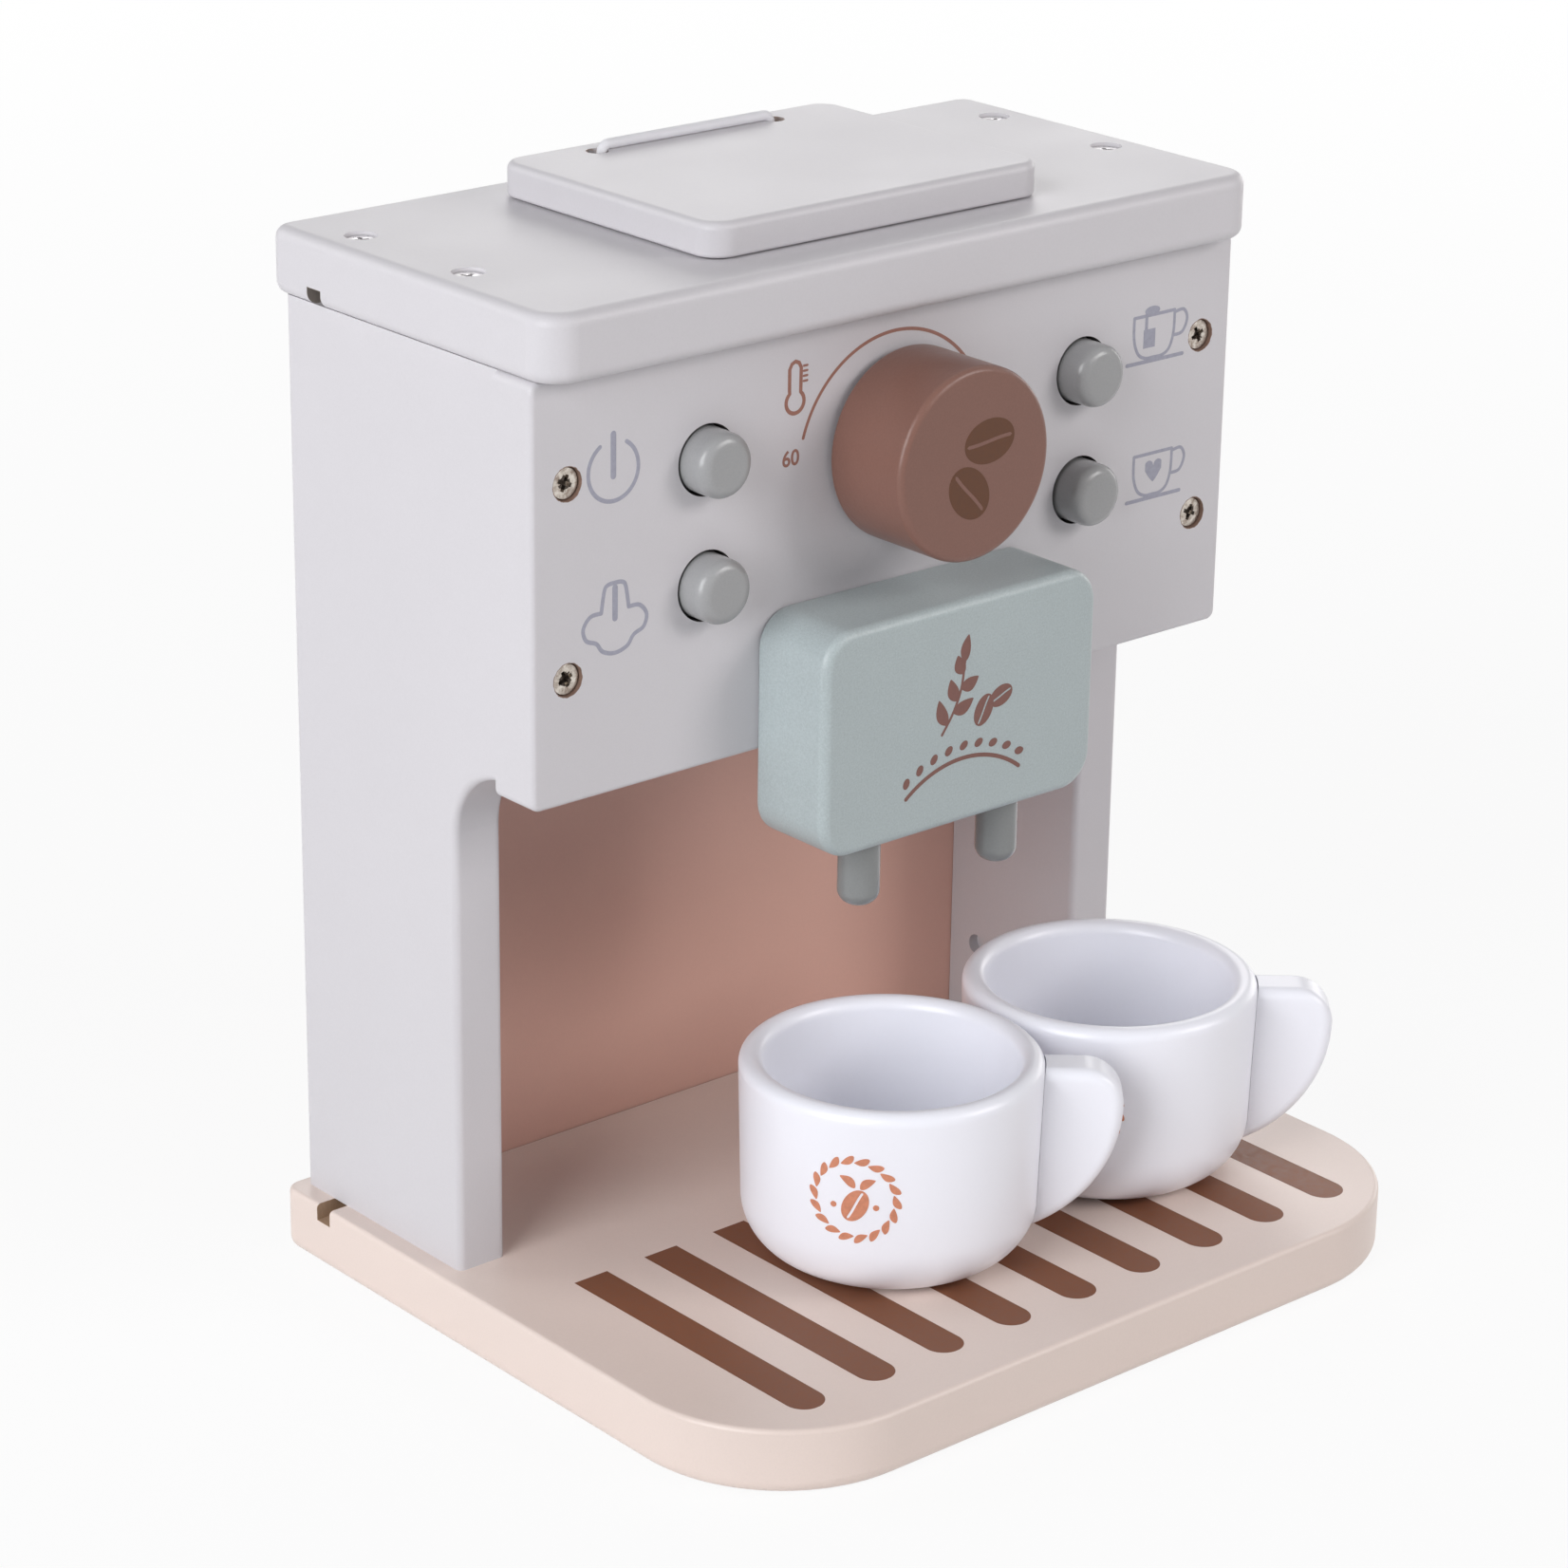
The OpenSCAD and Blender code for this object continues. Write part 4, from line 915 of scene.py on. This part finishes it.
def printBadge(name, node, body):
    low, high = lowest(node), highest(node)
    axis = ((low.x + high.x) / 2, (low.y + high.y) / 2)
    rise = (high.z - low.z) / mm

    def radiusAt(z):
        part = ((z - low.z) / mm - cupWall["flareFrom"]) / (rise - cupWall["flareShort"])
        return (cupWall["radius"] + cupWall["flare"] * min(max(part, 0), 1)) * mm

    seed = inkMesh(name + "Seed", [leaf((0, -badge["leafLength"] / 2), (0, badge["leafLength"] / 2),
                                        badge["leafWidth"], 0.08)], flatPlace, badge)
    wreath = bakeTree(name, seed, wreathTree, {
        wreathNames["count"]: badge["leaves"], wreathNames["radius"]: badge["radius"] * mm,
        wreathNames["tilt"]: badge["leafTilt"]})
    inner = bean((0.2, -1.3), 3.7, 2.5, 62, 0.5) + [
        leaf((1.2, 2.4), (4.3, 4.6), 1.8, 0.1), leaf((0.2, 2.6), (-3.0, 4.9), 1.8, -0.1),
        oval((-4.2, -1.6), 0.62, 0.62, 0, 10), oval((4.4, -1.4), 0.62, 0.62, 0, 10)]
    middle = inkMesh(name + "Middle", inner, flatPlace, badge)
    both = bmesh.new()
    both.from_mesh(wreath)
    both.from_mesh(middle)
    for vertex in both.verts:
        across, up, height = vertex.co
        z = badge["height"] * mm + up
        r = radiusAt(z) + height
        a = math.radians(badge["turn"]) + across / radiusAt(z)
        vertex.co = Vector((axis[0] + r * math.cos(a), axis[1] + r * math.sin(a), z))
    both.normal_update()
    both.to_mesh(wreath)
    both.free()
    addPiece(name, wreath, body, terracottaInk)


printBadge("badgeLeft", "cup_left", "cup_left")
printBadge("badgeRight", "cup_right", "cup_right")
print("cups: a leaf wreath is printed on each")

# Elastic cord: one braided tube from knot to knot

cord = {"radius": cordRadiusM / mm, "bend": 1.7, "knot": 3.1, "knotRise": 3.3, "knotHalf": 3.0,
        "knotStep": 0.6, "straight": 3.6, "topStep": 1.4, "lean": 1.1, "sides": 20, "strands": 8.0,
        "plaits": 46.0}
tailLow = lowest("elastic_tails")
cordX = loopHigh.x / mm - cord["radius"]
cordY = (loopLow.y + loopHigh.y) / 2 / mm
cordTop = loopHigh.z / mm - cord["radius"]
knotZ = tailLow.z / mm + cord["knotRise"]


# From the knot up to the lid the cord leans against the inner side of the holes
def cordPath():
    bendR = cord["bend"]
    low, high = knotZ + cord["straight"], cordTop - bendR
    side = [(cordX, knotZ - cord["knotHalf"] + cord["knotStep"] * k) for k in range(11)]
    side += [(cordX - cord["lean"] * t, low + (high - low) * t) for t in (0.1, 0.3, 0.5, 0.7, 0.9)]
    bendX = cordX - cord["lean"] - bendR
    side += [(bendX + bendR * math.cos(math.radians(a)), high + bendR * math.sin(math.radians(a)))
             for a in range(0, 91, 9)]
    topStep = cord["topStep"]
    side += [(bendX - topStep * k, cordTop) for k in range(1, int(bendX / topStep) + 1)]
    return side + [(-x, z) for x, z in reversed(side)]


def cordRadius(z):
    offset = z - knotZ
    if abs(offset) < cord["knot"]:
        lobe = math.sqrt(max(cord["knot"] ** 2 - offset ** 2, 0.0))
        return max(cord["radius"] * 0.8, lobe * (0.94 + 0.06 * math.cos(5 * offset)))
    return cord["radius"]


def buildCord():
    path = cordPath()
    mesh = bmesh.new()
    uv = mesh.loops.layers.uv.new("cordUv")
    rings, along, total = [], [], 0.0
    for i, (x, z) in enumerate(path):
        before, after = path[max(i - 1, 0)], path[min(i + 1, len(path) - 1)]
        tx, tz = after[0] - before[0], after[1] - before[1]
        size = math.hypot(tx, tz)
        nx, nz = tz / size, -tx / size
        radius = cordRadius(z)
        if i:
            total += math.hypot(x - path[i - 1][0], z - path[i - 1][1])
        along.append(total)
        ring = []
        for k in range(cord["sides"]):
            a = 2 * math.pi * k / cord["sides"]
            c, s = math.cos(a) * radius, math.sin(a) * radius
            ring.append(mesh.verts.new(((x + nx * c) * mm, (cordY + s) * mm, (z + nz * c) * mm)))
        rings.append(ring)
    count = cord["sides"]
    for i in range(len(rings) - 1):
        for k in range(count):
            n = (k + 1) % count
            face = mesh.faces.new((rings[i][k], rings[i][n], rings[i + 1][n], rings[i + 1][k]))
            face.smooth = True
            corners = ((k, i), (k + 1, i), (k + 1, i + 1), (k, i + 1))
            for loop, (a, b) in zip(face.loops, corners):
                loop[uv].uv = (a / count, along[b] / 10)
    for ring, order in ((rings[0], -1), (rings[-1], 1)):
        mesh.faces.new(ring[::order])
    bmesh.ops.recalc_face_normals(mesh, faces=mesh.faces)
    data = bpy.data.meshes.new("elasticCord")
    mesh.to_mesh(data)
    mesh.free()
    return addObject("elasticCord", data), total


# Braid of fine white threads, from the cord's own UV map
def makeBraid():
    material, tree, shader = newMaterial("whiteElastic")
    uv = addNode(tree, "ShaderNodeUVMap", (-1100, 0), uv_map="cordUv")
    parts = addNode(tree, "ShaderNodeSeparateXYZ", (-950, 0))
    wire(tree, uv.outputs[0], parts.inputs[0])
    around = mathNode(tree, "MULTIPLY", parts.outputs[0], cord["strands"] * 2 * math.pi)
    lengthways = mathNode(tree, "MULTIPLY", parts.outputs[1], cord["plaits"])
    left = mathNode(tree, "SINE", mathNode(tree, "ADD", around, lengthways))
    right = mathNode(tree, "SINE", mathNode(tree, "SUBTRACT", around, lengthways))
    plait = mathNode(tree, "ABSOLUTE", mathNode(tree, "MULTIPLY", left, right))
    here = addNode(tree, "ShaderNodeTexCoord", (-1100, -300)).outputs["Object"]
    fuzz = noise(tree, here, 4200.0, 2.0, 0.6)
    # Painted shade: the white threads are darkened where the plait dips, in the crevices of the braid
    wire(tree, mixColor(tree, plait, (0.78, 0.77, 0.81), (0.95, 0.95, 0.98)), shader.inputs["Base Color"])
    shader.inputs["Roughness"].default_value = 0.85
    shader.inputs["Sheen Weight"].default_value = 0.3
    relief = mathNode(tree, "ADD", plait, mathNode(tree, "MULTIPLY", fuzz, 0.4))
    addBump(tree, shader, relief, 0.6, bumpDepth["braid"])
    return material


elasticCord, cordLength = buildCord()
elasticCord.data.materials.append(makeBraid())
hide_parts("elastic_loop", "elastic_tails")
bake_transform(elasticCord)
print("elastic cord:", round(cordLength), "mm from knot to knot")

# Springs behind the buttons: each coil is a copy of its part's mesh, fixed in place

springs = ["power", "steam", "tea", "coffee"]


def addSpring(name):
    node = name + "_spring"
    coil = addObject(name + "Coil", nodeObjects[node].data.copy())
    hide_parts(node)
    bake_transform(coil)


for spring in springs:
    addSpring(spring)
print("springs:", len(springs), "coils shorten with their buttons")

# Floor, world and lamps

studio = {"floorSize": 8.0, "floorColor": (0.86, 0.86, 0.86), "glowNear": 0.9, "glowFar": 1.0, "near": 0.35,
          "far": 1.3, "floorDrop": 0.05 * mm, "sky": (0.97, 0.98, 1.0), "skyLevel": 0.1}


# 1 for rays that should show the white ground: from the camera, mirrored or passed through
def showsWhite(tree):
    path = addNode(tree, "ShaderNodeLightPath", (-200, 200))
    bounced = mathNode(tree, "MAXIMUM", path.outputs["Is Glossy Ray"],
                       path.outputs["Is Transmission Ray"])
    return mathNode(tree, "MAXIMUM", path.outputs["Is Camera Ray"], bounced)


def buildFloor():
    mesh = bmesh.new()
    bmesh.ops.create_grid(mesh, x_segments=8, y_segments=8, size=studio["floorSize"] / 2)
    data = bpy.data.meshes.new("studioFloor")
    mesh.to_mesh(data)
    mesh.free()
    floor = addObject("studioFloor", data)
    floor.location.z = -studio["floorDrop"]
    material = bpy.data.materials.new("floorPaper")
    material.use_nodes = True
    tree = material.node_tree
    tree.nodes.clear()
    out = addNode(tree, "ShaderNodeOutputMaterial", (600, 0))
    matt = addNode(tree, "ShaderNodeBsdfDiffuse", (0, 0))
    matt.inputs["Color"].default_value = (*studio["floorColor"], 1)
    glow = addNode(tree, "ShaderNodeEmission", (0, -200))
    glow.inputs["Strength"].default_value = 1.0
    here = addNode(tree, "ShaderNodeTexCoord", (-900, 0)).outputs["Object"]
    away = addNode(tree, "ShaderNodeVectorMath", (-700, 0), operation="LENGTH")
    wire(tree, here, away.inputs[0])
    glowLevel = remap(tree, away.outputs["Value"], studio["near"], studio["far"], studio["glowNear"],
                      studio["glowFar"])
    share = mathNode(tree, "MULTIPLY", showsWhite(tree), glowLevel)
    mix = addNode(tree, "ShaderNodeMixShader", (300, 0))
    wire(tree, share, mix.inputs[0])
    wire(tree, matt.outputs[0], mix.inputs[1])
    wire(tree, glow.outputs[0], mix.inputs[2])
    wire(tree, mix.outputs[0], out.inputs[0])
    data.materials.append(material)


buildFloor()

world = bpy.data.worlds.new("studioSky")
bpy.context.scene.world = world
world.use_nodes = True
skyTree = world.node_tree
skyTree.nodes.clear()
skyOut = addNode(skyTree, "ShaderNodeOutputWorld", (600, 0))
softSky = addNode(skyTree, "ShaderNodeBackground", (0, 0))
softSky.inputs[0].default_value = (*studio["sky"], 1)
softSky.inputs[1].default_value = studio["skyLevel"]
whiteSky = addNode(skyTree, "ShaderNodeBackground", (0, -200))
whiteSky.inputs[0].default_value = (1, 1, 1, 1)
whiteSky.inputs[1].default_value = 1.0
skyMix = addNode(skyTree, "ShaderNodeMixShader", (300, 0))
wire(skyTree, showsWhite(skyTree), skyMix.inputs[0])
wire(skyTree, softSky.outputs[0], skyMix.inputs[1])
wire(skyTree, whiteSky.outputs[0], skyMix.inputs[2])
wire(skyTree, skyMix.outputs[0], skyOut.inputs[0])

lamps = {
    "leftBox": dict(place=(-1.5, -0.35, 0.75), size=(1.0, 1.2), power=23.1, color=(0.97, 0.98, 1.0)),
    "rightBox": dict(place=(0.9, -1.3, 0.9), size=(0.75, 0.75), power=11.2, color=(1.0, 0.97, 0.96)),
    "frontBox": dict(place=(0.25, -1.2, 0.95), size=(0.5, 0.5), power=1.6, color=(1.0, 0.97, 0.96)),
    "sideBox": dict(place=(1.7, 0.35, 0.3), size=(0.8, 0.8), power=5.0, color=(1.0, 0.99, 0.99)),
    "rearLeftBox": dict(place=(-1.0, 1.4, 0.9), size=(0.9, 0.9), power=5.8, color=(1.0, 0.99, 0.99)),
    "rearRightBox": dict(place=(1.1, 1.2, 0.9), size=(0.9, 0.9), power=5.4, color=(1.0, 0.99, 0.99)),
}
lampAim = Vector((0, 0, 0.1))
for name, lamp in lamps.items():
    light = bpy.data.lights.new(name, "AREA")
    light.shape = "RECTANGLE"
    light.size, light.size_y = lamp["size"]
    light.energy = lamp["power"]
    light.color = lamp["color"]
    holder = addObject(name, light)
    holder.location = lamp["place"]
    holder.rotation_mode = "QUATERNION"
    holder.rotation_quaternion = (lampAim - Vector(lamp["place"])).to_track_quat("-Z", "Y")

# Camera

view = {"lens": 106.95, "azimuth": -40.907, "elevation": 21.126, "roll": 0.825,
        "place": (-0.58765, -0.65036, 0.44174)}
azimuth, elevation, roll = (math.radians(view[key]) for key in ("azimuth", "elevation", "roll"))
back = Vector((math.sin(azimuth) * math.cos(elevation), -math.cos(azimuth) * math.cos(elevation),
               math.sin(elevation)))
right = Vector((math.cos(azimuth), math.sin(azimuth), 0))
up = back.cross(right)
rolledRight = right * math.cos(roll) + up * math.sin(roll)
rolledUp = up * math.cos(roll) - right * math.sin(roll)
lens = bpy.data.cameras.new("studioCamera")
lens.lens = view["lens"]
lens.sensor_width = 36.0
lens.clip_start, lens.clip_end = 0.05, 50.0
camera = addObject("studioCamera", lens)
turn = Matrix((rolledRight, rolledUp, back)).transposed().to_4x4()
camera.matrix_world = Matrix.Translation(view["place"]) @ turn
bpy.context.scene.camera = camera
bpy.context.scene.view_settings.view_transform = "Standard"
print("studio: floor, sky, lamps and camera are set")
